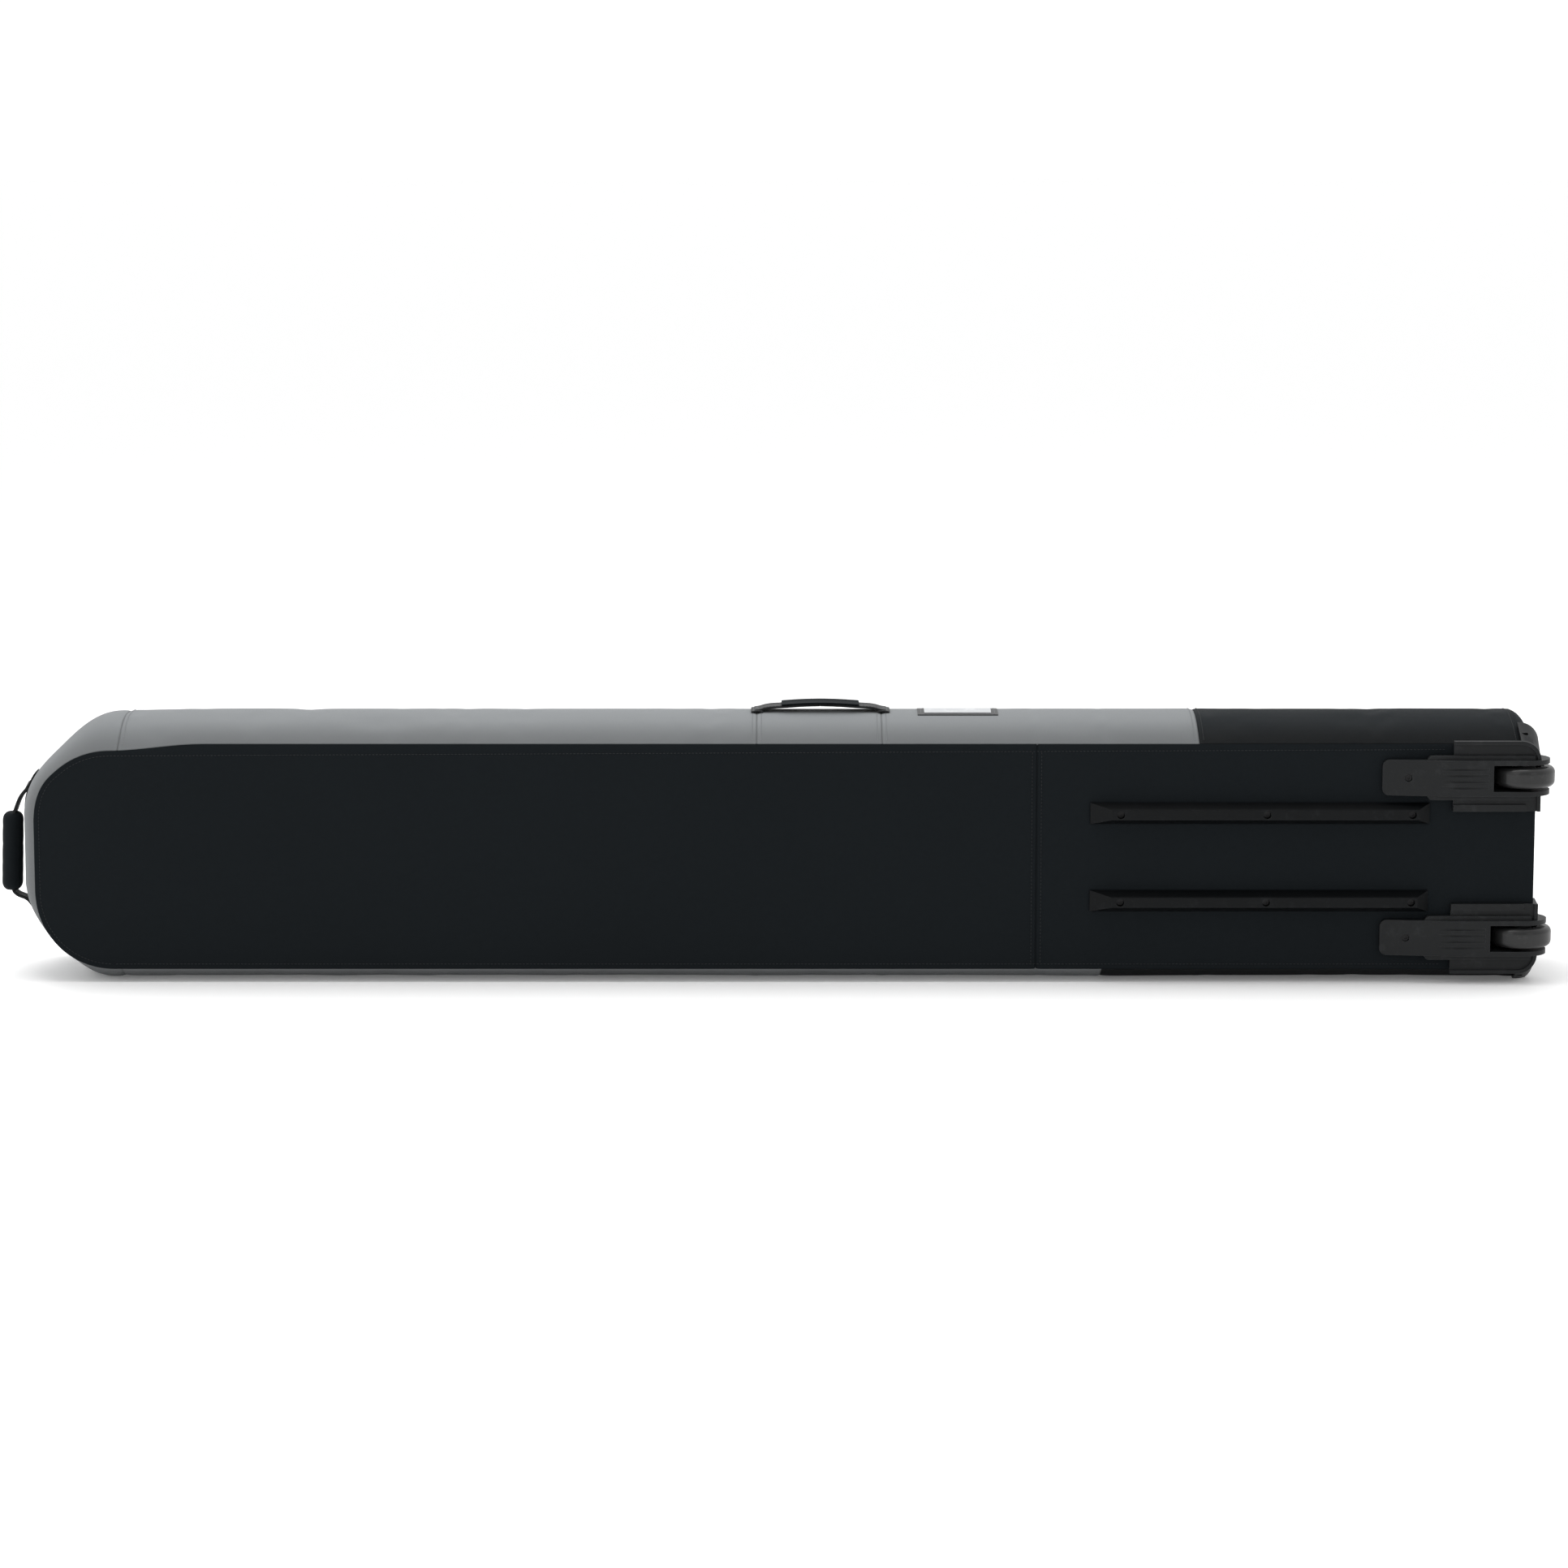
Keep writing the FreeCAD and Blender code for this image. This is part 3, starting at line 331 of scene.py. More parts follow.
def height_at(x, height):
    """A row's distance from the middle height, drawn in at the round corners."""
    drop = corner_drop(x)
    if x < 0:
        return height * (1 - drop / HALF_HEIGHT)
    if abs(height) <= WELL_OUTER:
        return height
    share = (HALF_HEIGHT - drop - WELL_OUTER) / (HALF_HEIGHT - WELL_OUTER)
    return math.copysign(WELL_OUTER + (abs(height) - WELL_OUTER) * share, height)


seam_places = [NOSE_SEAM_X, *HANDLE_SEAM_X, TOP_BLACK_X, BOTTOM_BLACK_X, BASE_SEAM_X]
along_stops = [NOSE_X + NOSE_R * (1 - math.cos(math.pi / 20 * step)) for step in range(11)]
along_stops += [TAIL_X - TAIL_R * (1 - math.sin(math.pi / 8 * step)) for step in range(5)]
for seam_x in seam_places:
    along_stops += [seam_x - SEAM_HALF, seam_x, seam_x + SEAM_HALF]
along_stops.append(WELL_CUT_X)
ALONG = spread(sorted(along_stops), CELL)
ACROSS = spread([-HALF_HEIGHT, 0.004 - HALF_HEIGHT, -WELL_OUTER, -WELL_INNER, WELL_INNER, WELL_OUTER,
                 HALF_HEIGHT - 0.004, HALF_HEIGHT], CELL)
DEEP = spread([0, 0.0035, WELL_CUT_DEPTH, WALL_DEPTH - 0.004, WALL_DEPTH], CELL)


def set_active(piece):
    """Select one piece alone and make it the active one."""
    bpy.ops.object.select_all(action="DESELECT")
    piece.select_set(True)
    bpy.context.view_layer.objects.active = piece


def select_in_mesh(kind, test):
    """In edit mode, select only the vertices, edges or faces that pass the test."""
    mesh = bmesh.from_edit_mesh(bpy.context.object.data)
    for group in (mesh.verts, mesh.edges, mesh.faces):
        for item in group:
            item.select = False
    for item in getattr(mesh, kind):
        item.select = bool(test(item))
    mesh.select_flush_mode()
    bmesh.update_edit_mesh(bpy.context.object.data)


def lay_grid(name, columns, rows, place):
    """A flat grid of cloth, each of its crossings moved to place(column value, row value)."""
    bpy.ops.object.select_all(action="DESELECT")
    bpy.ops.mesh.primitive_grid_add(x_subdivisions=len(columns) - 1, y_subdivisions=len(rows) - 1, size=1)
    grid = bpy.context.object
    grid.name = name
    for vertex in grid.data.vertices:
        column = columns[round((vertex.co.x + 0.5) * (len(columns) - 1))]
        row = rows[round((vertex.co.y + 0.5) * (len(rows) - 1))]
        vertex.co = place(column, row)
    return grid


def face_towards(piece, direction, face=0):
    """Turn a sheet over if one of its faces looks away from the direction."""
    if piece.data.polygons[face].normal.dot(Vector(direction)) < 0:
        piece.data.flip_normals()


def delete_faces(piece, test):
    """Cut away the faces of a piece that pass the test."""
    set_active(piece)
    bpy.ops.object.mode_set(mode="EDIT")
    bpy.ops.mesh.select_mode(type="FACE")
    select_in_mesh("faces", test)
    bpy.ops.mesh.delete(type="FACE")
    bpy.ops.object.mode_set(mode="OBJECT")


def lay_cut_map(piece, place_on_cloth):
    """The UV map called cut: where each corner lies on the flat cloth, by its vertex number and face."""
    cut_map = piece.data.uv_layers.get("cut") or piece.data.uv_layers.new(name="cut")
    for face in piece.data.polygons:
        for corner in face.loop_indices:
            cut_map.data[corner].uv = place_on_cloth(piece.data.loops[corner].vertex_index, face)


def tree_of(piece):
    """A search tree of a piece's surface."""
    return BVHTree.FromPolygons([vertex.co for vertex in piece.data.vertices],
                                [face.vertices for face in piece.data.polygons])


def outline_panel(name, y, margin=0.0):
    """A flat panel with the bag's outline, facing the base or the lid side."""
    shrink = 1 - margin / HALF_HEIGHT
    panel = lay_grid(name, ALONG, ACROSS,
                     lambda x, height: Vector((x, y, MID_Z + height_at(x, height) * shrink)))
    face_towards(panel, (0, y, 0))
    return panel


def draw_up_edge(panel, steps):
    """Extrude the panel's open edge along Y, one row of cloth for each step."""
    bpy.ops.object.mode_set(mode="EDIT")
    bpy.ops.mesh.select_mode(type="EDGE")
    select_in_mesh("edges", lambda edge: edge.is_boundary)
    for step in steps:
        bpy.ops.mesh.extrude_region_move(TRANSFORM_OT_translate={"value": (0, step, 0)})
    bpy.ops.mesh.select_all(action="SELECT")
    bpy.ops.mesh.normals_make_consistent(inside=False)
    bpy.ops.object.mode_set(mode="OBJECT")


skin = outline_panel("bag_skin", BASE_Y)
draw_up_edge(skin, [following - here for here, following in zip(DEEP, DEEP[1:])])
face_towards(skin, (0, -1, 0))


def outward(x, z):
    """The direction out of the bag's outline at one of its points, in the plane of the base."""
    side = math.copysign(1, z - MID_Z)
    height = abs(z - MID_Z)
    if x < NOSE_X + NOSE_R and height > HALF_HEIGHT - NOSE_R - 1e-6:
        return Vector((x - NOSE_X - NOSE_R, 0, side * (height - HALF_HEIGHT + NOSE_R))).normalized()
    if x > TAIL_X - TAIL_R and height > HALF_HEIGHT - TAIL_R - 1e-6:
        return Vector((x - TAIL_X + TAIL_R, 0, side * (height - HALF_HEIGHT + TAIL_R))).normalized()
    if x <= NOSE_X + 1e-6:
        return Vector((-1, 0, 0))
    if x >= TAIL_X - 1e-6:
        return Vector((1, 0, 0))
    return Vector((0, 0, side))


def way_round(x, z):
    """The length of seam from the middle of the nose, or of the tail, to a point of the outline."""
    height = abs(z - MID_Z)
    if x < NOSE_X + NOSE_R and height > HALF_HEIGHT - NOSE_R:
        turn = math.atan2(height - HALF_HEIGHT + NOSE_R, NOSE_X + NOSE_R - x)
        return NOSE_X + NOSE_R - NOSE_R * (math.pi / 2 - turn)
    if x <= NOSE_X + 1e-6:
        return NOSE_X + NOSE_R - NOSE_R * math.pi / 2 - (HALF_HEIGHT - NOSE_R - height)
    if x >= TAIL_X - 1e-6:
        return TAIL_X + HALF_HEIGHT - height
    return x


def pushed_out(x, z, out, depth):
    """A point of the outline at a depth from the base, bulged outwards.

    The cloth is tight round the nose corners.
    """
    share = wall_share(depth) if depth > 0 else 0.0
    if out.x < 0:
        pull = NOSE_LOW_PULL if out.z < 0 else NOSE_TOP_PULL
        share *= 1 - pull * (2 * out.x * out.z) ** 2
    reach = NOSE_BULGE if out.x < 0 else TAIL_BULGE
    return Vector((x + out.x * reach * share, BASE_Y + depth, z + out.z * WALL_TOP * share))


def bulged(x, z, depth):
    """A point of the bulged outline, kept off the floor."""
    moved = pushed_out(x, z, outward(x, z), depth)
    moved.z = max(moved.z, floor_low.z + FLOOR_CLEAR)
    return moved


def ease(value):
    """A smooth step from 0 to 1."""
    value = min(1.0, max(0.0, value))
    return value * value * (3 - 2 * value)


PANELS = (
    ("base_front_cloth", black_cloth, "black_cloth", "base_front_panel"),
    ("base_tail_cloth", black_cloth, "black_cloth", "base_tail_panel"),
    ("wall_nose_cloth", grey_cloth, "grey_cloth", "gusset_nose"),
    ("wall_top_front_cloth", grey_cloth, "grey_cloth", "gusset_top_front"),
    ("wall_handle_cloth", grey_cloth, "grey_cloth", "gusset_handle_panel"),
    ("wall_top_rear_cloth", grey_cloth, "grey_cloth", "gusset_top_rear"),
    ("wall_top_tail_cloth", black_wall_cloth, "black_cloth", "gusset_top_tail"),
    ("wall_bottom_front_cloth", grey_cloth, "grey_cloth", "gusset_bottom_front"),
    ("wall_bottom_tail_cloth", black_wall_cloth, "black_cloth", "gusset_bottom_tail"),
    ("tail_wall_cloth", black_wall_cloth, "black_cloth", "tail_wall"),
)


def panel_number(place, on_base):
    """Which of the sewn panels a point of the laid-out shell belongs to."""
    if on_base:
        return 0 if place.x < BASE_SEAM_X else 1
    if place.x < NOSE_SEAM_X:
        return 2
    if place.x > TAIL_SEAM_X:
        return 9
    if place.z < MID_Z:
        return 7 if place.x < BOTTOM_BLACK_X else 8
    stops = (*HANDLE_SEAM_X, TOP_BLACK_X)
    return 3 + sum(place.x > stop for stop in stops)


def in_wheel_well(place, on_base):
    """Whether a point of the laid-out shell is where a wheel well is cut out."""
    if abs(abs(place.z - MID_Z) - WHEEL_SIDE) > WELL_CUT_HALF:
        return False
    if on_base:
        return place.x > WELL_CUT_X
    return place.x > TAIL_X - 1e-4 and place.y - BASE_Y < WELL_CUT_DEPTH


cut_map = skin.data.uv_layers.new(name="cut")
well_faces = []
for face in skin.data.polygons:
    on_base = face.normal.y < -0.9
    face.material_index = panel_number(face.center, on_base)
    if in_wheel_well(face.center, on_base):
        well_faces.append(face.index)
    for corner in face.loop_indices:
        place = skin.data.vertices[skin.data.loops[corner].vertex_index].co
        if on_base:
            cut_map.data[corner].uv = (place.x, place.z)
        else:
            cut_map.data[corner].uv = (way_round(place.x, place.z), place.y)

# Where each point of the cloth was before it was bulged: its place along, its height and its depth.
laid_out = [vertex.co.copy() for vertex in skin.data.vertices]
for vertex in skin.data.vertices:
    depth = vertex.co.y - BASE_Y
    if depth > 1e-6:
        vertex.co = bulged(vertex.co.x, vertex.co.z, depth)

# The hard parts that hold the cloth down: (lowest x, highest x, lowest z, highest z) on the base.
HELD_ON_BASE = [(low.x - 0.012, high.x + 0.012, low.z - 0.012, high.z + 0.012)
                for low, high in (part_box(name) for name in ("skid_rail_upper", "skid_rail_lower",
                                                            "wheel_housing_upper", "wheel_housing_lower"))]
HELD_ON_TOP = [(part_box(name)[0].x - 0.014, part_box(name)[1].x + 0.014)
               for name in ("carry_handle_anchors", "label_border")]
NOSE_ANCHOR_LOW, NOSE_ANCHOR_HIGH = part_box("nose_handle_anchors")


def is_held(place):
    """Whether a point of the laid-out cloth is sewn or screwed down, or lies on something hard."""
    depth = place.y - BASE_Y
    if depth < 1e-6:
        on_edge = abs(abs(place.z - MID_Z) - height_at(place.x, HALF_HEIGHT)) < 1e-5
        at_end = place.x < NOSE_X + 1e-5 or place.x > TAIL_X - 1e-5
        at_seam = abs(place.x - BASE_SEAM_X) < 1e-5
        under = any(a <= place.x <= b and c <= place.z <= d for a, b, c, d in HELD_ON_BASE)
        return on_edge or at_end or at_seam or under
    if depth > WALL_DEPTH - 1e-5:
        return True
    if place.x > TAIL_SEAM_X - 0.004:
        return True
    if place.x < NOSE_X + 0.002 and abs(place.z - MID_Z) < 0.1 and abs(place.y - 0.011) < 0.024:
        return True
    if place.z < MID_Z:
        return abs(place.x - BOTTOM_BLACK_X) < 1e-5
    at_seam = any(abs(place.x - stop) < 1e-5 for stop in (*HANDLE_SEAM_X, TOP_BLACK_X, NOSE_SEAM_X))
    return at_seam or any(a <= place.x <= b for a, b in HELD_ON_TOP)


def settle(piece, held, pressure, shrink, cap, frames=20):
    """Let cloth find its own folds between the points that hold it, then keep it within cap of its cut."""
    start = [vertex.co.copy() for vertex in piece.data.vertices]
    group = piece.vertex_groups.new(name="held")
    group.add(held, 1.0, "REPLACE")
    modifier = piece.modifiers.new("settle", "CLOTH")
    modifier.settings.quality = 4
    modifier.settings.mass = 0.3
    modifier.settings.vertex_group_mass = "held"
    modifier.settings.use_pressure = True
    modifier.settings.uniform_pressure_force = pressure
    modifier.settings.shrink_min = shrink
    modifier.settings.bending_stiffness = 0.3
    modifier.settings.effector_weights.gravity = 0
    modifier.point_cache.frame_end = frames
    for frame_number in range(1, frames + 1):
        bpy.context.scene.frame_set(frame_number)
    finished = piece.evaluated_get(bpy.context.evaluated_depsgraph_get()).to_mesh()
    moves = [vertex.co - at for vertex, at in zip(finished.vertices, start)]
    piece.modifiers.remove(modifier)
    piece.vertex_groups.remove(group)
    bpy.context.scene.frame_set(1)
    return [move * min(1.0, cap / max(move.length, 1e-9)) for move in moves]


# Soft folds pressed into the base, each from one (x, z) to another with a depth and a half width,
# and dents in the top wall, each at an (x, depth from the base) with a sink and two half sizes.
FOLDS = (
    ((0.176, 0.241), (0.142, 0.070), 0.0020, 0.011),
    ((0.218, 0.108), (0.171, 0.032), 0.0018, 0.010),
    ((0.062, 0.127), (0.009, 0.032), 0.0016, 0.012),
    ((-0.230, 0.240), (-0.265, 0.150), 0.0010, 0.014),
    ((-0.560, 0.090), (-0.610, 0.030), 0.0012, 0.014),
)
DENTS = (
    (-0.461, 0.041, 0.0026, 0.034, 0.014),
    (-0.722, 0.020, 0.0026, 0.010, 0.010),
    (-0.300, 0.060, 0.0012, 0.040, 0.020),
    (0.360, 0.030, 0.0014, 0.030, 0.014),
    (0.690, 0.050, 0.0016, 0.035, 0.018),
)


def fold_depth(place):
    """How far the folds press a point of the base in."""
    sink = 0.0
    for start, end, depth, half in FOLDS:
        run = Vector((end[0] - start[0], end[1] - start[1]))
        reach = Vector((place.x - start[0], place.z - start[1]))
        share = reach.dot(run) / run.length_squared
        off = (reach - run * share).length / half
        sink += depth * math.exp(-off * off) * ease(share * 4) * ease((1 - share) * 4)
    return sink


def dent_depth(place):
    """How far the dents press a point of the top wall in."""
    sink = 0.0
    for x, depth, deep, half_x, half_y in DENTS:
        off = ((place.x - x) / half_x) ** 2 + ((place.y - BASE_Y - depth) / half_y) ** 2
        sink += deep * math.exp(-off)
    return sink


def seam_sink(place):
    """How far the cross seams draw a point of the cloth in."""
    depth = place.y - BASE_Y
    if depth < 1e-6:
        stops = [BASE_SEAM_X]
    elif place.z > MID_Z:
        stops = [NOSE_SEAM_X, *HANDLE_SEAM_X, TOP_BLACK_X]
    else:
        stops = [NOSE_SEAM_X, BOTTOM_BLACK_X]
    return SEAM_SINK if any(abs(place.x - stop) < 1e-5 for stop in stops) else 0.0


def nose_droop(place, depth):
    """How far the upper cloth hangs down towards the nose at a laid-out point."""
    if place.z < MID_Z:
        return 0.0
    droop = ease((-0.665 - place.x) / 0.11) * ease((place.x - NOSE_X) / 0.03)
    fade = (1 - 0.6 * ease(depth / 0.06)) * (1 - ease((depth - 0.10) / 0.05))
    return NOSE_DROOP * droop * fade * (place.z - MID_Z) / HALF_HEIGHT


CLOTH_PRESSURE = 1.2
CLOTH_SLACK = -0.0015
CLOTH_CAP = 0.0024
BASE_GIVE = 0.4
held_points = [index for index, place in enumerate(laid_out) if is_held(place)]
moves = settle(skin, held_points, CLOTH_PRESSURE, CLOTH_SLACK, CLOTH_CAP)
for vertex, place, move in zip(skin.data.vertices, laid_out, moves):
    depth = place.y - BASE_Y
    out = Vector((0, -1, 0)) if depth < 1e-6 else outward(place.x, place.z)
    give = BASE_GIVE if depth < 1e-6 else 1.0
    vertex.co += move * give - out * seam_sink(place)
    if depth < 1e-6:
        vertex.co.y += fold_depth(place)
    elif place.z > MID_Z:
        vertex.co.z -= dent_depth(place)
    vertex.co.z -= nose_droop(place, depth)
    vertex.co.z = max(vertex.co.z, floor_low.z + FLOOR_CLEAR)

set_active(skin)
bpy.ops.object.duplicate()
lining = bpy.context.object
lining.name = "inner_lining"

cut_faces = set(well_faces)
delete_faces(skin, lambda face: face.index in cut_faces)


def take_faces(piece, test, name):
    """Unpick the faces that pass the test from a piece, as a new piece."""
    set_active(piece)
    bpy.ops.object.mode_set(mode="EDIT")
    bpy.ops.mesh.select_mode(type="FACE")
    select_in_mesh("faces", test)
    bpy.ops.mesh.separate(type="SELECTED")
    bpy.ops.object.mode_set(mode="OBJECT")
    taken = next(item for item in bpy.context.selected_objects if item is not piece)
    taken.name = name
    bpy.ops.object.select_all(action="DESELECT")
    return taken


def apply_modifiers(piece):
    """Apply every modifier on a piece, in order."""
    set_active(piece)
    for modifier in list(piece.modifiers):
        bpy.ops.object.modifier_apply(modifier=modifier.name)
    bpy.ops.object.select_all(action="DESELECT")


def thicken_cloth(piece, thickness, levels=1, offset=-1.0):
    """Give a sheet its thickness inwards, with crisp sewn edges, and round its folds."""
    solid = piece.modifiers.new("thickness", "SOLIDIFY")
    solid.thickness = thickness
    solid.offset = offset
    solid.edge_crease_outer = 1.0
    solid.edge_crease_inner = 1.0
    if levels:
        smooth = piece.modifiers.new("soften", "SUBSURF")
        smooth.levels = levels
        smooth.render_levels = levels
        smooth.uv_smooth = "NONE"
    apply_modifiers(piece)
    piece.data.shade_smooth()


def only_material(piece, material):
    """Give a piece one material and nothing else."""
    piece.data.materials.clear()
    piece.data.materials.append(material)
    for face in piece.data.polygons:
        face.material_index = 0


skin_tree = tree_of(skin)
for number, (name, material, slot_name, node) in enumerate(PANELS):
    left = len({face.material_index for face in skin.data.polygons})
    if left > 1:
        panel = take_faces(skin, lambda face: face.material_index == number, name)
    else:
        panel = skin
        panel.name = name
    only_material(panel, material)
    thicken_cloth(panel, CLOTH_THICK)
    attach(panel, "bag_body")
    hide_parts(node)


# The stiffener: a thin ribbed sheet of hard plastic that lies between the base cloth and its
# padding, cut out round the wheel wells and screwed through with the rails.
STIFFENER_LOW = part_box("base_stiffener")[0]
STIFFENER_THICK = 0.0012


def cut_wells(piece, margin):
    """Delete the base faces of a flat sheet where the wheel wells pass through it."""
    delete_faces(piece, lambda face: face.calc_center_median().x > WELL_CUT_X - margin
                 and abs(abs(face.calc_center_median().z - MID_Z) - WHEEL_SIDE) < WELL_CUT_HALF + margin)


def moulded_material(name, dark, light, roughness, grain_scale=900.0, grain_depth=0.00012, coat=0.0,
                     metallic=0.0,
                    specular=0.3, painted_side_shade=1.0):
    """Moulded or cast stuff: two close shades, fine surface grain, and paler scuffs; a side share below 1
    adds painted shade by keeping faces that do not face outwards darker.
    """
    material, nodes, links, shader = node_material(name)
    tree = material.node_tree
    place = nodes.new("ShaderNodeTexCoord")
    wear = nodes.new("ShaderNodeGroup")
    wear.node_tree = wear_group
    fill_inputs(wear, {"Grain Scale": grain_scale, "Painted Side Shade": painted_side_shade})
    links.new(place.outputs["Object"], wear.inputs["Position"])
    shade = add_node(nodes, "ShaderNodeMix", data_type="RGBA")
    fill_inputs(shade, {"A": (*dark, 1), "B": (*light, 1)})
    links.new(wear.outputs["Wear And Side Shade"], shade.inputs["Factor"])
    links.new(shade.outputs["Result"], shader.inputs["Base Color"])
    rough = nodes.new("ShaderNodeMapRange")
    fill_inputs(rough, {"To Min": max(0.05, roughness - 0.1), "To Max": min(1.0, roughness + 0.1)})
    links.new(wear.outputs["Cloud"], rough.inputs["Value"])
    links.new(rough.outputs["Result"], shader.inputs["Roughness"])
    bump = nodes.new("ShaderNodeBump")
    fill_inputs(bump, {"Strength": 0.5, "Distance": grain_depth})
    links.new(wear.outputs["Grain"], bump.inputs["Height"])
    links.new(bump.outputs["Normal"], shader.inputs["Normal"])
    fill_inputs(shader, {"Specular IOR Level": specular, "Coat Weight": coat, "Metallic": metallic})
    return material


def make_wear_group():
    """Fine grain, slow clouding and sparse scuffs from a position in metres, with painted shade that keeps
    faces not facing outwards darker.
    """
    group, inside, outside = effect_group(
        "grain_scuffs_and_side_shade",
        [("Position", "NodeSocketVector", None), ("Grain Scale", "NodeSocketFloat", 900.0),
         ("Painted Side Shade", "NodeSocketFloat", 1.0)],
        [("Grain", "NodeSocketFloat"), ("Cloud", "NodeSocketFloat"), ("Wear And Side Shade", "NodeSocketFloat")],
    )
    grain = group.nodes.new("ShaderNodeTexNoise")
    grain.inputs["Detail"].default_value = 2.0
    cloud = group.nodes.new("ShaderNodeTexNoise")
    fill_inputs(cloud, {"Scale": 14.0, "Detail": 5.0})
    scuff = group.nodes.new("ShaderNodeTexNoise")
    fill_inputs(scuff, {"Scale": 55.0, "Detail": 8.0, "Roughness": 0.7})
    group.links.new(inside.outputs["Grain Scale"], grain.inputs["Scale"])
    for noise in (grain, cloud, scuff):
        group.links.new(inside.outputs["Position"], noise.inputs["Vector"])
    worn = group.nodes.new("ShaderNodeMapRange")
    fill_inputs(worn, {"From Min": 0.54, "From Max": 0.70, "To Max": 0.7})
    group.links.new(scuff.outputs["Fac"], worn.inputs["Value"])
    part = math_node(group, "MULTIPLY", cloud.outputs["Fac"], 0.5)
    speck = math_node(group, "MULTIPLY", grain.outputs["Fac"], 0.2)
    total = math_node(group, "ADD", math_node(group, "ADD", worn.outputs["Result"], part), speck)
    group.links.new(grain.outputs["Fac"], outside.inputs["Grain"])
    group.links.new(cloud.outputs["Fac"], outside.inputs["Cloud"])
    facing = group.nodes.new("ShaderNodeNewGeometry")
    facing_parts = group.nodes.new("ShaderNodeSeparateXYZ")
    group.links.new(facing.outputs["Normal"], facing_parts.inputs[0])
    # Painted shade: faces that do not look out along -Y get less of the paler shade, by the side share given.
    painted_side_shade_mask = group.nodes.new("ShaderNodeMapRange")
    fill_inputs(painted_side_shade_mask, {"From Min": -0.5, "From Max": -0.95, "To Max": 1.0})
    group.links.new(facing_parts.outputs[1], painted_side_shade_mask.inputs["Value"])
    group.links.new(inside.outputs["Painted Side Shade"], painted_side_shade_mask.inputs["To Min"])
    wear_and_side_shade = math_node(group, "MULTIPLY", total, painted_side_shade_mask.outputs["Result"])
    group.links.new(math_node(group, "MINIMUM", wear_and_side_shade, 1.0), outside.inputs["Wear And Side Shade"])
    return group


wear_group = make_wear_group()
board_plastic = moulded_material("board_plastic", (0.020, 0.021, 0.022), (0.045, 0.046, 0.048), 0.55)
stiffener = outline_panel("base_board", STIFFENER_LOW.y + STIFFENER_THICK, margin=0.003)
cut_wells(stiffener, 0.0)
rib_rows = {round(height, 5) for height in ACROSS[3:-3:3]}
for vertex in stiffener.data.vertices:
    if round(height_at(vertex.co.x, vertex.co.z - MID_Z), 5) in rib_rows:
        vertex.co.y += STIFFENER_THICK * 0.3
for vertex in stiffener.data.vertices:
    vertex.co.z -= nose_droop(vertex.co, 0)
only_material(stiffener, board_plastic)
thicken_cloth(stiffener, STIFFENER_THICK)
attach(stiffener, "bag_body")
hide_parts("base_stiffener")


# The quilted inside: lining cloth over foam on the base and round the wall, sewn through in
# channels across the bag, thinning to nothing where it is sewn in with the zipper tape.
LINING_INSET = 0.0076
LINING_SEWN_IN = 0.0016
LINING_THICK = 0.0008
QUILT_SINK = 0.0016
QUILT_EVERY = 6
LINING_FACE_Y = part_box("base_lining")[1].y - LINING_THICK
lining_cloth = cloth_material("lining_cloth", (0.085, 0.088, 0.093), (0.125, 0.129, 0.135), 0.55, 0.15,
                              0.0006)
quilt_columns = {round(x, 5) for x in ALONG[4::QUILT_EVERY]}
for vertex, place in zip(lining.data.vertices, laid_out):
    depth = place.y - BASE_Y
    quilted = QUILT_SINK if round(place.x, 5) in quilt_columns and -0.8 < place.x < TAIL_SEAM_X else 0.0
    if (depth < 1e-6 and abs(place.z - MID_Z) < height_at(place.x, HALF_HEIGHT) - 1e-5
            and NOSE_X + 1e-5 < place.x < TAIL_X - 1e-5):
        vertex.co = Vector((place.x, LINING_FACE_Y - quilted * 0.6, place.z - nose_droop(place, 0)))
        continue
    padding = ease((WALL_DEPTH - depth) / 0.02)
    inset = LINING_SEWN_IN + (LINING_INSET - LINING_SEWN_IN) * padding
    if depth < 1e-6:
        out = outward(place.x, place.z)
        vertex.co = Vector((place.x, LINING_FACE_Y, place.z - nose_droop(place, 0))) - out * LINING_INSET
    else:
        out = outward(place.x, place.z)
        vertex.co = bulged(place.x, place.z, max(depth, 0.0125)) - out * (inset - quilted * padding)
        vertex.co.z = max(vertex.co.z - nose_droop(place, depth), inset - quilted * padding)
delete_faces(lining, lambda face: face.index in cut_faces)
lining.data.flip_normals()
only_material(lining, lining_cloth)
thicken_cloth(lining, LINING_THICK, levels=0)
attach(lining, "bag_body")
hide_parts("base_foam", "base_lining", "gusset_foam", "gusset_lining")


# The lid: one padded panel of the same black cloth with a narrow rim that turns down to the
# zipper, and its own quilted lining. It hangs on a cloth hinge along the bag's lower edge.
LID_DOME = 0.0035
LID_DOME_REACH = 0.07
RIM_END_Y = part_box("lid_rim")[0].y
LID_LOW_Z = lid_low.z
LID_LINING_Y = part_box("lid_lining")[0].y
lid_cloth = outline_panel("lid_cloth", LID_Y)
rim_steps = (LID_Y - RIM_END_Y) / 3
draw_up_edge(lid_cloth, [-rim_steps] * 3)
face_towards(lid_cloth, (0, 1, 0))
lid_laid = [vertex.co.copy() for vertex in lid_cloth.data.vertices]
lay_cut_map(lid_cloth, lambda index, face: lid_laid[index].xz if face.normal.y > 0.9
            else (way_round(lid_laid[index].x, lid_laid[index].z), lid_laid[index].y))


def edge_distance(place):
    """How far a point of the flat outline is from the outline's edge."""
    height = abs(place.z - MID_Z)
    at_nose = place.x - NOSE_X
    at_tail = TAIL_X - place.x
    if at_nose < NOSE_R and height > HALF_HEIGHT - NOSE_R:
        return NOSE_R - math.hypot(NOSE_R - at_nose, height - HALF_HEIGHT + NOSE_R)
    return max(0.0, min(HALF_HEIGHT - height, at_nose, at_tail))


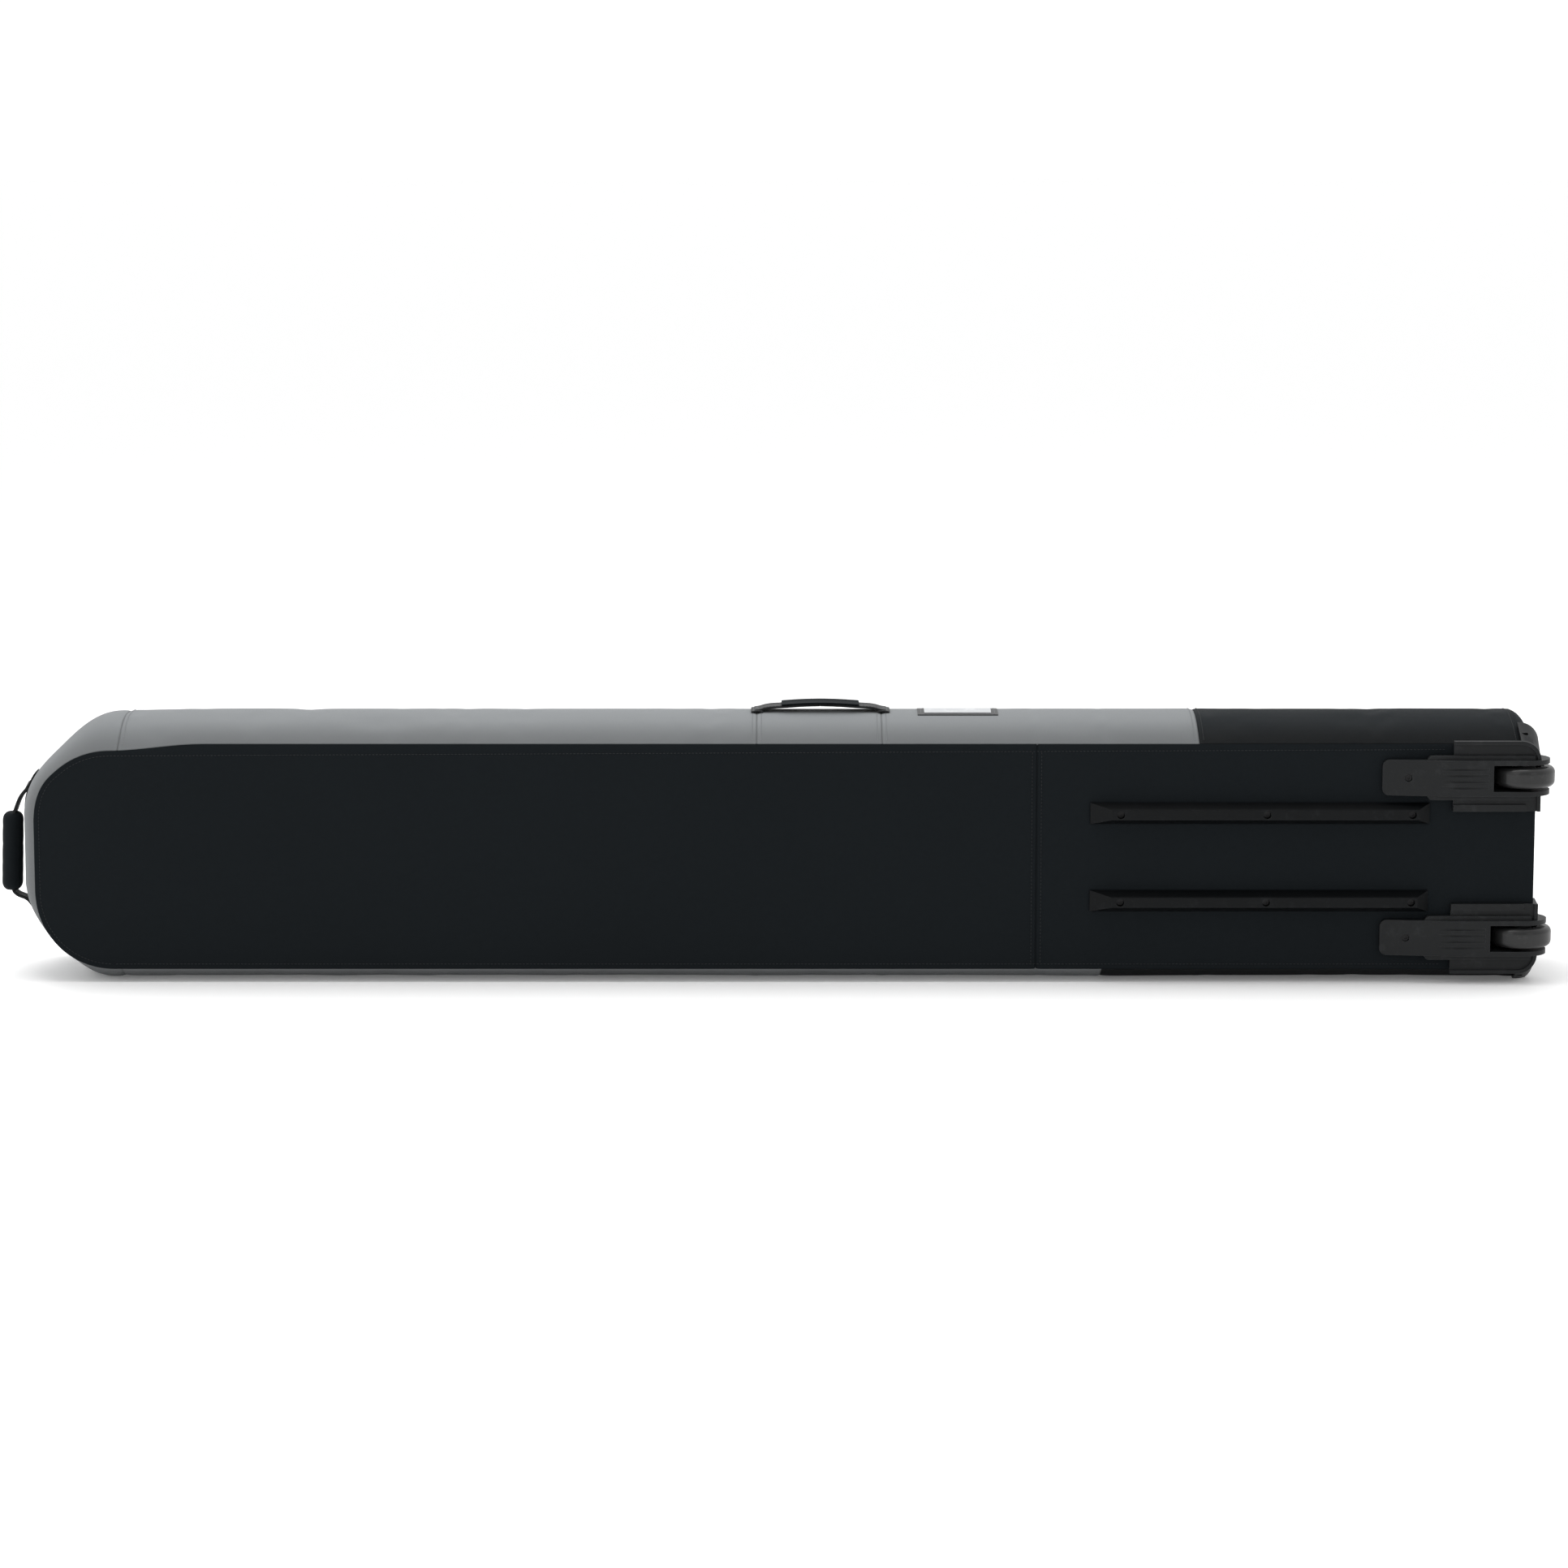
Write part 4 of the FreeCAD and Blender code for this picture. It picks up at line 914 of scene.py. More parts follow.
for vertex in lid_cloth.data.vertices:
    place = vertex.co.copy()
    if place.y < LID_Y - 1e-6:
        vertex.co = bulged(place.x, place.z, place.y - BASE_Y)
    else:
        share = min(1.0, edge_distance(place) / LID_DOME_REACH)
        vertex.co.y += LID_DOME * (1 - (1 - share) ** 2)
    vertex.co.z = max(vertex.co.z, LID_LOW_Z)
lid_held = [index for index, place in enumerate(lid_laid) if edge_distance(place) < 0.004 or place.y < LID_Y
            - 1e-6]
for vertex, move in zip(lid_cloth.data.vertices,
                        settle(lid_cloth, lid_held, CLOTH_PRESSURE, CLOTH_SLACK, CLOTH_CAP)):
    vertex.co += move * BASE_GIVE
    vertex.co.z = max(vertex.co.z, LID_LOW_Z)
lid_tree = BVHTree.FromPolygons([vertex.co for vertex in lid_cloth.data.vertices],
                                [face.vertices for face in lid_cloth.data.polygons])
only_material(lid_cloth, black_cloth)
thicken_cloth(lid_cloth, CLOTH_THICK)
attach(lid_cloth, "lid")
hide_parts("lid_panel", "lid_rim")

lid_lining = outline_panel("lid_lining_quilt", LID_LINING_Y + LINING_THICK, margin=0.0005)
face_towards(lid_lining, (0, -1, 0))
lay_cut_map(lid_lining, lambda index, face: lid_lining.data.vertices[index].co.xz)
for vertex in lid_lining.data.vertices:
    quilted = round(vertex.co.x, 5) in quilt_columns or edge_distance(vertex.co) < 0.006
    vertex.co.y += QUILT_SINK if quilted else 0.0
only_material(lid_lining, lining_cloth)
thicken_cloth(lid_lining, LINING_THICK)
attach(lid_lining, "lid")
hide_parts("lid_foam", "lid_lining")


# The hinge: a strip of black cloth sewn to the wall's lower edge and lapped over the lid's
# lower edge.
HINGE_Y = LID_Y
HINGE_Z = LID_LOW_Z - 0.0008
HINGE_START_X = -0.797
HINGE_LAP = 0.008
STRIP_THICK = 0.0011
hinge_columns = spread([HINGE_START_X, NOSE_X + NOSE_R, TAIL_SEAM_X, TAIL_X], CELL)


def hinge_point(x, row):
    """A point of the strip: rows 0 to 4 rise from the wall's edge to the lid, 5 to 8 lap over it."""
    edge_z = MID_Z - height_at(max(x, NOSE_X), HALF_HEIGHT)
    if row <= 4:
        depth = WALL_DEPTH - 0.003 + (HINGE_Y - WALL_END_Y + 0.003) * row / 4
        low = bulged(x, edge_z, depth)
        return Vector((low.x, low.y, min(low.z, HINGE_Z)))
    lap = (row - 4) / 4
    return Vector((x, HINGE_Y + 0.0022 * math.sin(lap * math.pi / 2), HINGE_Z + HINGE_LAP * lap))


hinge_strip = lay_grid("hinge_strip_cloth", hinge_columns, list(range(9)), hinge_point)
flat_places = [(vertex.co.x, vertex.co.y + vertex.co.z) for vertex in hinge_strip.data.vertices]
lay_cut_map(hinge_strip, lambda index, face: flat_places[index])
face_towards(hinge_strip, (0, 0.3, -1))
only_material(hinge_strip, black_cloth)
thicken_cloth(hinge_strip, STRIP_THICK, offset=1.0)
for vertex in hinge_strip.data.vertices:
    vertex.co.z = max(vertex.co.z, floor_low.z + FLOOR_CLEAR)
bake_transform(hinge_strip)
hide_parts("lid_hinge_strip")


# The zipper: a coil zipper that runs round the nose, along the top and round the tail. Its
# two woven tapes are sewn to the wall and to the lid, and each carries a row of coil teeth.
TAPE_SINK = 0.0008
TAPE_THICK = 0.0006
TAPE_COLUMN = 0.006
TAPE_ROW = 0.002
COIL_PITCH = 0.0021
TOOTH_SIZE = (0.0013, 0.0029, 0.0018)
COIL_BODY_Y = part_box("zipper_coil_body")[0].y
COIL_LID_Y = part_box("zipper_coil_lid")[1].y
TAPE_BODY_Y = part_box("zipper_tape_body")[0].y
TAPE_LID_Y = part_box("zipper_tape_lid")[1].y


def outline_walk():
    """The bag's outline as points (x, z) with their outward direction, from under the nose over the top."""
    walk = []
    low, high = MID_Z - HALF_HEIGHT, MID_Z + HALF_HEIGHT

    def corner(centre_x, centre_z, radius, start, end, parts):
        for part in range(parts + 1):
            angle = math.radians(start + (end - start) * part / parts)
            out = Vector((math.cos(angle), 0, math.sin(angle)))
            walk.append((centre_x + out.x * radius, centre_z + out.z * radius, out))

    corner(NOSE_X + NOSE_R, low + NOSE_R, NOSE_R, 270, 180, 24)
    corner(NOSE_X + NOSE_R, high - NOSE_R, NOSE_R, 180, 90, 24)
    corner(TAIL_X - TAIL_R, high - TAIL_R, TAIL_R, 90, 0, 10)
    corner(TAIL_X - TAIL_R, low + TAIL_R, TAIL_R, 0, -90, 10)
    return walk


def zipper_path(y, spacing, sink=0.0, shift=0.0):
    """Points along the zipper at one Y, evenly spaced, each with its outward direction."""
    points = [(pushed_out(x, z, out, y - BASE_Y) - out * sink, out) for x, z, out in outline_walk()]
    placed = []
    want = shift
    gone = 0.0
    for (here, out_here), (following, out_next) in zip(points, points[1:]):
        length = (following - here).length
        while want <= gone + length and length > 1e-9:
            share_on = (want - gone) / length
            place = here.lerp(following, share_on)
            if place.z > LID_LOW_Z:
                placed.append((place, out_here.lerp(out_next, share_on).normalized()))
            want += spacing
        gone += length
    return placed


def strip_along(name, paths, material, thickness, slot_name, body, *nodes):
    """A woven tape whose long rows follow the given paths."""
    count = min(len(path) for path in paths)
    strip = lay_grid(name, list(range(count)), list(range(len(paths))), lambda column,
                     row: paths[row][column][0])
    lay_cut_map(strip, lambda index, face: (index % count * TAPE_COLUMN, index // count * TAPE_ROW))
    face_towards(strip, (0, 0, 1), len(strip.data.polygons) // 2)
    only_material(strip, material)
    thicken_cloth(strip, thickness)
    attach(strip, body)
    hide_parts(*nodes)
    return strip


tape_cloth = cloth_material("tape_cloth", (0.008, 0.009, 0.010), (0.016, 0.017, 0.019), 0.7, 0.05, 0.0007)
body_rows = [TAPE_BODY_Y - 0.003, TAPE_BODY_Y + 0.002, COIL_BODY_Y - 0.001, COIL_BODY_Y + 0.0012]
lid_rows = [TAPE_LID_Y + 0.003, TAPE_LID_Y - 0.002, COIL_LID_Y + 0.001, COIL_LID_Y - 0.0012]


def tape_path(y):
    """The tape's row at one Y, sampled at the same outline points whatever its depth."""
    return [(pushed_out(x, z, out, y - BASE_Y) - out * TAPE_SINK, out) for x, z, out in dense_walk]


dense_walk = []
for (x, z, out), (next_x, next_z, next_out) in zip(outline_walk(), outline_walk()[1:]):
    parts = max(1, math.ceil(math.hypot(next_x - x, next_z - z) / 0.01))
    for part in range(parts):
        share = part / parts
        dense_walk.append((x + (next_x - x) * share, z + (next_z - z) * share,
                           out.lerp(next_out, share).normalized()))
dense_walk = [step for step in dense_walk
              if pushed_out(*step, TAPE_BODY_Y - BASE_Y).z > LID_LOW_Z + 0.001]
strip_along("zipper_tape_wall", [tape_path(y) for y in body_rows], tape_cloth, TAPE_THICK, "zip_tape",
            "bag_body",
            "zipper_tape_body")
strip_along("zipper_tape_lid_side", [tape_path(y) for y in lid_rows], tape_cloth, TAPE_THICK, "zip_tape",
            "lid",
            "zipper_tape_lid")


def repeat_shape(name, shape, placings, material):
    """One mesh made of copies of a small shape, one for each placing matrix. The shape itself goes."""
    points = [vertex.co.copy() for vertex in shape.data.vertices]
    faces = [tuple(face.vertices) for face in shape.data.polygons]
    all_points, all_faces = [], []
    for placing in placings:
        first = len(all_points)
        all_points += [placing @ point for point in points]
        all_faces += [tuple(first + corner for corner in face) for face in faces]
    mesh = bpy.data.meshes.new(name)
    mesh.from_pydata(all_points, [], all_faces)
    mesh.materials.append(material)
    mesh.shade_smooth()
    repeated = bpy.data.objects.new(name, mesh)
    bpy.context.collection.objects.link(repeated)
    bpy.data.objects.remove(shape)
    return repeated


def placing_at(point, along, out):
    """The matrix that stands a small shape at a point: its X along the row, its Z outwards."""
    side = out.cross(along).normalized()
    ahead = side.cross(out).normalized()
    return Matrix.Translation(point) @ Matrix((ahead, side, out)).transposed().to_4x4()


def small_block(size, bevel):
    """A tiny block with rounded edges, to be repeated."""
    bpy.ops.object.select_all(action="DESELECT")
    bpy.ops.mesh.primitive_cube_add(size=1)
    block = bpy.context.object
    block.scale = size
    bpy.ops.object.transform_apply(scale=True)
    bpy.ops.object.mode_set(mode="EDIT")
    bpy.ops.mesh.select_all(action="SELECT")
    bpy.ops.mesh.bevel(offset=bevel, segments=1, affect="EDGES")
    bpy.ops.object.mode_set(mode="OBJECT")
    return block


coil_plastic = moulded_material("coil_plastic", (0.010, 0.010, 0.011), (0.030, 0.031, 0.033), 0.35)
for name, y, shift, body, node in (
        ("zipper_teeth_wall", COIL_BODY_Y + 0.0013, 0.0, "bag_body", "zipper_coil_body"),
        ("zipper_teeth_lid", COIL_LID_Y - 0.0013, COIL_PITCH / 2, "lid", "zipper_coil_lid")):
    row = zipper_path(y, COIL_PITCH, sink=0.0004, shift=shift)
    placings = []
    for at, (point, out) in enumerate(row):
        near = row[at + 1][0] if at + 1 < len(row) else row[at - 1][0]
        along = (near - point) if at + 1 < len(row) else (point - near)
        placings.append(placing_at(point, along.normalized(), out))
    teeth = repeat_shape(name, small_block(TOOTH_SIZE, 0.00035), placings, coil_plastic)
    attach(teeth, body)
    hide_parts(node)


def finish_node(material, *names):
    """Give carried-over hard parts their finish."""
    for name in names:
        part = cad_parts[name]
        if not part.material_slots:
            part.data.materials.append(material)
        for holder in part.material_slots:
            holder.material = material


painted_metal = moulded_material("painted_metal", (0.012, 0.012, 0.013), (0.060, 0.061, 0.063), 0.32, 1400.0,
                                 0.00004, 0.3, 0.6)
finish_node(painted_metal, "zipper_slider_nose", "zipper_slider_tail", "pull_tab_nose", "pull_tab_tail")


# The wheel housings, skid rails and buckles: tough black plastic with a leathery grain, paler
# where the ground rubs it. The rails are glossier, and everything is held by dark steel screws.
# The rails' side faces carry painted shade. The rounded edges of housings and rails take a paler
# colour that is part wear and part painted highlight.
housing_plastic = moulded_material("housing_plastic", (0.0054, 0.0062, 0.0068), (0.0176, 0.0188, 0.0198),
                                   0.50,
                                   specular=0.2)
# Painted shade on the rails: their side faces are kept darker than the outward face.
rail_plastic = moulded_material("rail_plastic", (0.0014, 0.0019, 0.0023), (0.0090, 0.0100, 0.0108), 0.46,
                                specular=0.12,
                                painted_side_shade=0.15)
# Paler colour for rounded edges: part rubbing wear, part painted highlight on every edge.
edge_wear_and_highlight = moulded_material("edge_wear_and_highlight", (0.020, 0.022, 0.023), (0.088, 0.092, 0.096), 0.38)
buckle_plastic = moulded_material("buckle_plastic", (0.007, 0.007, 0.008), (0.020, 0.021, 0.022), 0.35)
dark_steel = moulded_material("dark_steel", (0.06, 0.06, 0.063), (0.16, 0.16, 0.166), 0.35, 1800.0, 0.00004,
                              0.0, 1.0)
black_steel = moulded_material("black_steel", (0.006, 0.006, 0.0065), (0.022, 0.022, 0.023), 0.38, 1800.0,
                               0.00004, 0.0, 0.5)
bright_steel = moulded_material("bright_steel", (0.38, 0.38, 0.39), (0.62, 0.62, 0.63), 0.28, 1800.0, 0.00003,
                                0.0, 1.0)


def softened_copy(node, name, width, material, body):
    """A copy of a hard part with its edges rounded as a mould leaves them, the rounds given a paler edge
    colour that is part wear and part painted highlight.
    """
    copy = bpy.data.objects.new(name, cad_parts[node].data.copy())
    copy.data.materials.clear()
    copy.data.materials.append(material)
    copy.data.materials.append(edge_wear_and_highlight)
    bpy.context.collection.objects.link(copy)
    set_active(copy)
    bpy.ops.object.mode_set(mode="EDIT")
    bpy.ops.mesh.select_all(action="SELECT")
    bpy.ops.mesh.remove_doubles(threshold=0.00002)
    bpy.ops.mesh.dissolve_limited(angle_limit=math.radians(2))
    bpy.ops.object.mode_set(mode="OBJECT")
    rounding = copy.modifiers.new("rounding", "BEVEL")
    rounding.width = width
    rounding.segments = 2
    rounding.limit_method = "ANGLE"
    rounding.angle_limit = math.radians(35)
    rounding.use_clamp_overlap = True
    # The bevel faces take the paler edge material: part wear, part painted highlight.
    rounding.material = 1
    apply_modifiers(copy)
    copy.select_set(True)
    bpy.ops.object.shade_smooth_by_angle(angle=math.radians(40))
    flats = copy.modifiers.new("flat_faces", "WEIGHTED_NORMAL")
    flats.keep_sharp = True
    apply_modifiers(copy)
    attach(copy, body)
    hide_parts(node)
    return copy


for side in ("upper", "lower"):
    softened_copy(f"wheel_housing_{side}", f"housing_{side}", 0.0012, housing_plastic, "bag_body")
    softened_copy(f"skid_rail_{side}", f"rail_{side}", 0.0010, rail_plastic, "bag_body")
finish_node(buckle_plastic, "buckle_plug_front", "buckle_plug_rear", "buckle_sockets")
finish_node(black_steel, "rail_screws", "housing_screws")
finish_node(dark_steel, "screw_washers", "axle_nuts", "axle_spacers")
finish_node(bright_steel, "axle_bolt_upper", "axle_bolt_lower", "wheel_bearings_upper",
            "wheel_bearings_lower",
            "bearing_inner_rings")


# The wheels: cast rubber tyres, dusty on the tread, pressed on grey nylon hubs.
tyre_rubber = moulded_material("tyre_rubber", (0.0050, 0.0054, 0.0057), (0.024, 0.024, 0.024), 0.46, 700.0,
                               0.0001,
                               coat=0.25)
hub_nylon = moulded_material("hub_nylon", (0.030, 0.031, 0.033), (0.070, 0.072, 0.075), 0.45)
finish_node(tyre_rubber, "wheel_tyre_upper", "wheel_tyre_lower")
finish_node(hub_nylon, "wheel_hub_upper", "wheel_hub_lower")


# Sewing: one thread for every topstitched row, its stitches sunk a little into the cloth.
STITCH_PITCH = 0.0042
STITCH_SIZE = (0.0030, 0.0008, 0.0006)
black_thread = moulded_material("black_thread", (0.009, 0.010, 0.011), (0.024, 0.026, 0.028), 0.6, 2500.0,
                                0.0001)
grey_thread = moulded_material("grey_thread", (0.15, 0.155, 0.163), (0.24, 0.247, 0.255), 0.6, 2500.0, 0.0001)


def stitch_shape():
    """One stitch: a low rounded capsule."""
    bpy.ops.object.select_all(action="DESELECT")
    bpy.ops.mesh.primitive_uv_sphere_add(segments=6, ring_count=4, radius=0.5)
    stitch = bpy.context.object
    stitch.rotation_euler = (0, math.radians(90), 0)
    stitch.scale = (STITCH_SIZE[2], STITCH_SIZE[1], STITCH_SIZE[0])
    bpy.ops.object.transform_apply(rotation=True, scale=True)
    return stitch


def even_points(path, spacing):
    """Points spaced evenly along a line of points, with the direction at each."""
    placed, gone, want = [], 0.0, spacing / 2
    for here, following in zip(path, path[1:]):
        length = (following - here).length
        while length > 1e-9 and want <= gone + length:
            placed.append((here.lerp(following, (want - gone) / length), (following - here) / length))
            want += spacing
        gone += length
    return placed


def sew(name, paths, tree, thread, body, lift=0.0001):
    """Rows of stitches that lie on a surface along each path."""
    placings = []
    for path in paths:
        for point, along in even_points(path, STITCH_PITCH):
            found, normal, _, _ = tree.find_nearest(point)
            if found is not None and (found - point).length < 0.02:
                placings.append(placing_at(found + normal * lift, along, normal))
    stitches = repeat_shape(name, stitch_shape(), placings, thread)
    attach(stitches, body)
    return stitches


def outline_path(depth, inset, low_x, high_x, low_z=-1.0):
    """Lines round the whole outline at a depth, drawn in by inset, kept between two places along the bag."""
    walk = outline_walk()
    loop = []
    for x, z, out in [*walk, walk[0]]:
        point = pushed_out(x, z, out, depth) - out * inset
        loop.append(point - Vector((0, 0, nose_droop(Vector((x, 0, z)), depth) if depth < WALL_DEPTH else 0)))
    runs = [[]]
    for point, _ in even_points(loop, 0.004):
        if low_x < point.x < high_x and point.z > low_z:
            runs[-1].append(point)
        elif runs[-1]:
            runs.append([])
    return [run for run in runs if len(run) > 1]


def cross_path(x, low, high, on_base):
    """A straight line across the base, or across the top or bottom wall from its base seam."""
    if on_base:
        return [Vector((x, BASE_Y, MID_Z + low + (high - low) * step / 20)) for step in range(21)]
    side = math.copysign(1, high)
    points = []
    for step in range(21):
        depth = 0.006 + (WALL_DEPTH - 0.010) * step / 20
        points.append(bulged(x, MID_Z + side * HALF_HEIGHT, depth))
    return points


EDGE_ROW = 0.006
sew("stitches_base_edge", outline_path(0, EDGE_ROW, NOSE_X - 0.01, 0.79), skin_tree, black_thread, "bag_body")
sew("stitches_base_seam", [cross_path(BASE_SEAM_X + side * 0.0055, 0.007 - HALF_HEIGHT, HALF_HEIGHT - 0.007,
                                      True)
                           for side in (-1, 1)], skin_tree, black_thread, "bag_body")
sew("stitches_wall_grey", [cross_path(x + side * 0.0052, 0, sign, False)
                           for x, side, sign in ((NOSE_SEAM_X, 1, 1), (HANDLE_SEAM_X[0], -1, 1),
                                                 (HANDLE_SEAM_X[0], 1, 1),
                                                 (HANDLE_SEAM_X[1], -1, 1), (HANDLE_SEAM_X[1], 1, 1),
                                                 (TOP_BLACK_X, -1, 1))], skin_tree, grey_thread, "bag_body")
sew("stitches_wall_black", [cross_path(TOP_BLACK_X + 0.0052, 0, 1, False),
                            cross_path(TAIL_SEAM_X - 0.0052, 0, 1, False)], skin_tree, black_thread,
    "bag_body")
sew("stitches_zipper_wall", outline_path(WALL_DEPTH - 0.004, 0, NOSE_X - 0.05, TAIL_X + 0.02, LID_LOW_Z),
    skin_tree,
    black_thread, "bag_body")
sew("stitches_lid_edge", outline_path(LID_Y - BASE_Y, EDGE_ROW, NOSE_X - 0.01, TAIL_X + 0.01), lid_tree,
    black_thread, "lid")


# The carry handle: a band of heavy ribbed webbing in two halves under one wrap, arched over the
# top wall, each end tucked under a stitched patch that holds it to the cloth.
def webbing_material(name, dark, light, roughness, rib=0.0016):
    """Ribbed webbing: the weave runs in rows along the strap's own UV map, with a fuzzy edge."""
    return cloth_material(name, dark, light, roughness, 0.12, rib, 0.35)


black_webbing = webbing_material("black_webbing", (0.0060, 0.0068, 0.0076), (0.0135, 0.0148, 0.0160), 0.65)


STRAP_STEP = 0.004


def band_piece(name, line, half_width, thickness, centre_y, material, across=5, edge_roll=0.25):
    """A strap whose middle follows a line of (x, z) points, its width along Y and its edges rolled."""
    points = [Vector((x, centre_y, z)) for x, z in line]
    smooth = [points[0]]
    for here, following in zip(points, points[1:]):
        parts = max(1, math.ceil((following - here).length / STRAP_STEP))
        smooth += [here.lerp(following, part / parts) for part in range(1, parts + 1)]
    rows = [-1 + 2 * step / (across - 1) for step in range(across)]

    def crossing(column, row):
        here = smooth[column]
        before, after = smooth[max(0, column - 1)], smooth[min(len(smooth) - 1, column + 1)]
        along = (after - before).normalized()
        out = Vector((0, 1, 0)).cross(along).normalized()
        return here + Vector((0, row * half_width, 0)) - out * thickness * edge_roll * row * row

    strap = lay_grid(name, list(range(len(smooth))), rows, crossing)
    lay_cut_map(strap, lambda index, face: (index % len(smooth) * STRAP_STEP,
                                            half_width * rows[index // len(smooth)]))
    only_material(strap, material)
    return strap


def arc_line(points, rounds=2):
    """A line of (x, z) points with its corners cut off smoothly."""
    line = [Vector(point) for point in points]
    for _ in range(rounds):
        cut = [line[0]]
        for here, following in zip(line, line[1:]):
            cut += [here.lerp(following, 0.25), here.lerp(following, 0.75)]
        line = cut + [line[-1]]
    return [tuple(point) for point in line]


CARRY_LOW, CARRY_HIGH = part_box("carry_handle_strap")
CARRY_ANCHOR_LOW, CARRY_ANCHOR_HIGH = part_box("carry_handle_anchors")
CARRY_MID_X = (CARRY_LOW.x + CARRY_HIGH.x) / 2
CARRY_MID_Y = (CARRY_LOW.y + CARRY_HIGH.y) / 2
CARRY_HALF = (CARRY_HIGH.y - CARRY_LOW.y) / 2
CARRY_THICK = 0.0026
CREST_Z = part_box("gusset_handle_panel")[1].z
STRAP_TOP_Z = CARRY_HIGH.z - CARRY_THICK * 0.6 - 0.0040
WRAP_HALF_LENGTH = 0.046
WRAP_THICK = 0.0014
for side, name in ((-1, "carry_strap_front"), (1, "carry_strap_rear")):
    end_x = CARRY_MID_X + side * (CARRY_HIGH.x - CARRY_MID_X)
    line = arc_line([(end_x + side * 0.004, CREST_Z + 0.0004), (end_x - side * 0.002, CREST_Z + 0.0010),
                     (end_x - side * 0.012, CREST_Z + 0.0042), (end_x - side * 0.032, STRAP_TOP_Z - 0.0022),
                     (end_x - side * 0.052, STRAP_TOP_Z - 0.0006), (CARRY_MID_X, STRAP_TOP_Z)])[::-side]
    strap = band_piece(name, line, CARRY_HALF * 0.86, CARRY_THICK, CARRY_MID_Y, black_webbing)
    face_towards(strap, (0, 0, 1), len(strap.data.polygons) // 2)
    thicken_cloth(strap, CARRY_THICK, offset=0.0)
    strap_tree = tree_of(strap)
    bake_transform(strap)
    if side < 0:
        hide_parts("carry_handle_strap")
    lines = [[Vector((end_x - side * (0.004 + 0.004 * step), CARRY_MID_Y + edge * CARRY_HALF * 0.70,
                      STRAP_TOP_Z + 0.002))
              for step in range(17)] for edge in (-1, 1)]
    rows = sew(name + "_stitches", lines, strap_tree, black_thread, "carry_handle")
    rows.parent = None
    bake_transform(rows)

wrap = band_piece("carry_wrap", arc_line([(CARRY_MID_X - WRAP_HALF_LENGTH, STRAP_TOP_Z - 0.0002),
                                          (CARRY_MID_X - WRAP_HALF_LENGTH / 2, STRAP_TOP_Z + 0.0014),
                                          (CARRY_MID_X, STRAP_TOP_Z + 0.0020),
                                          (CARRY_MID_X + WRAP_HALF_LENGTH / 2, STRAP_TOP_Z + 0.0014),
                                          (CARRY_MID_X + WRAP_HALF_LENGTH, STRAP_TOP_Z - 0.0002)]),
                  CARRY_HALF * 0.93, WRAP_THICK, CARRY_MID_Y, black_cloth, across=7, edge_roll=1.6)
face_towards(wrap, (0, 0, 1))
thicken_cloth(wrap, WRAP_THICK)
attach(wrap, "carry_handle")
wrap_line = [Vector((CARRY_MID_X + share * (WRAP_HALF_LENGTH - 0.003), 0, STRAP_TOP_Z + 0.004))
             for share in (-1, 1)]
sew("carry_wrap_stitches", [[point + Vector((0, CARRY_MID_Y + edge * CARRY_HALF * 0.78, 0))
                             for point in wrap_line]
                            for edge in (-1, 1)], tree_of(wrap), black_thread, "carry_handle")

PATCH_LIFT = 0.0008


def sewn_patch(name, columns, rows, place, out, thickness, material, body, slot_name, *nodes):
    """A patch of cloth or webbing that follows what it is sewn to, with softened edges."""
    patch = lay_grid(name, columns, rows, place)
    lay_cut_map(patch, lambda index, face: (columns[index % len(columns)], rows[index // len(columns)]))
    face_towards(patch, out)
    only_material(patch, material)
    thicken_cloth(patch, thickness, offset=0.0)
    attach(patch, body)
    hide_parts(*nodes)
    return patch


def on_top_wall(x, depth, lift):
    """A point above the top wall's uncreased line at a depth, lifted off it."""
    point = bulged(x, MID_Z + HALF_HEIGHT, depth)
    return point + Vector((0, 0, lift))


anchor_depth = (CARRY_ANCHOR_LOW.y - BASE_Y, CARRY_ANCHOR_HIGH.y - BASE_Y)
for name, low_x, high_x in (("carry_patch_front", CARRY_LOW.x - 0.008, CARRY_LOW.x + 0.006),
                            ("carry_patch_rear", CARRY_HIGH.x - 0.006, CARRY_HIGH.x + 0.008)):
    patch = sewn_patch(name, spread([low_x, high_x], 0.003), spread(anchor_depth, 0.003),
                       lambda x, depth: on_top_wall(x, depth, PATCH_LIFT + 0.0012 * ease(1 - abs(
                           x - (CARRY_LOW.x if x < CARRY_MID_X else CARRY_HIGH.x)) / 0.012)),
                       (0, 0, 1), 0.0014, black_webbing, "bag_body", "webbing", *(
                           ["carry_handle_anchors"] if low_x < CARRY_MID_X else []))
    patch_tree = tree_of(patch)
    corners = [on_top_wall(low_x + 0.003, anchor_depth[0] + 0.003, 0.003),
               on_top_wall(high_x - 0.003, anchor_depth[0] + 0.003, 0.003),
               on_top_wall(high_x - 0.003, anchor_depth[1] - 0.003, 0.003),
               on_top_wall(low_x + 0.003, anchor_depth[1] - 0.003, 0.003)]
    sew(name + "_stitches", [corners + corners[:1], [corners[0], corners[2]], [corners[1], corners[3]]],
        patch_tree,
        grey_thread, "bag_body")


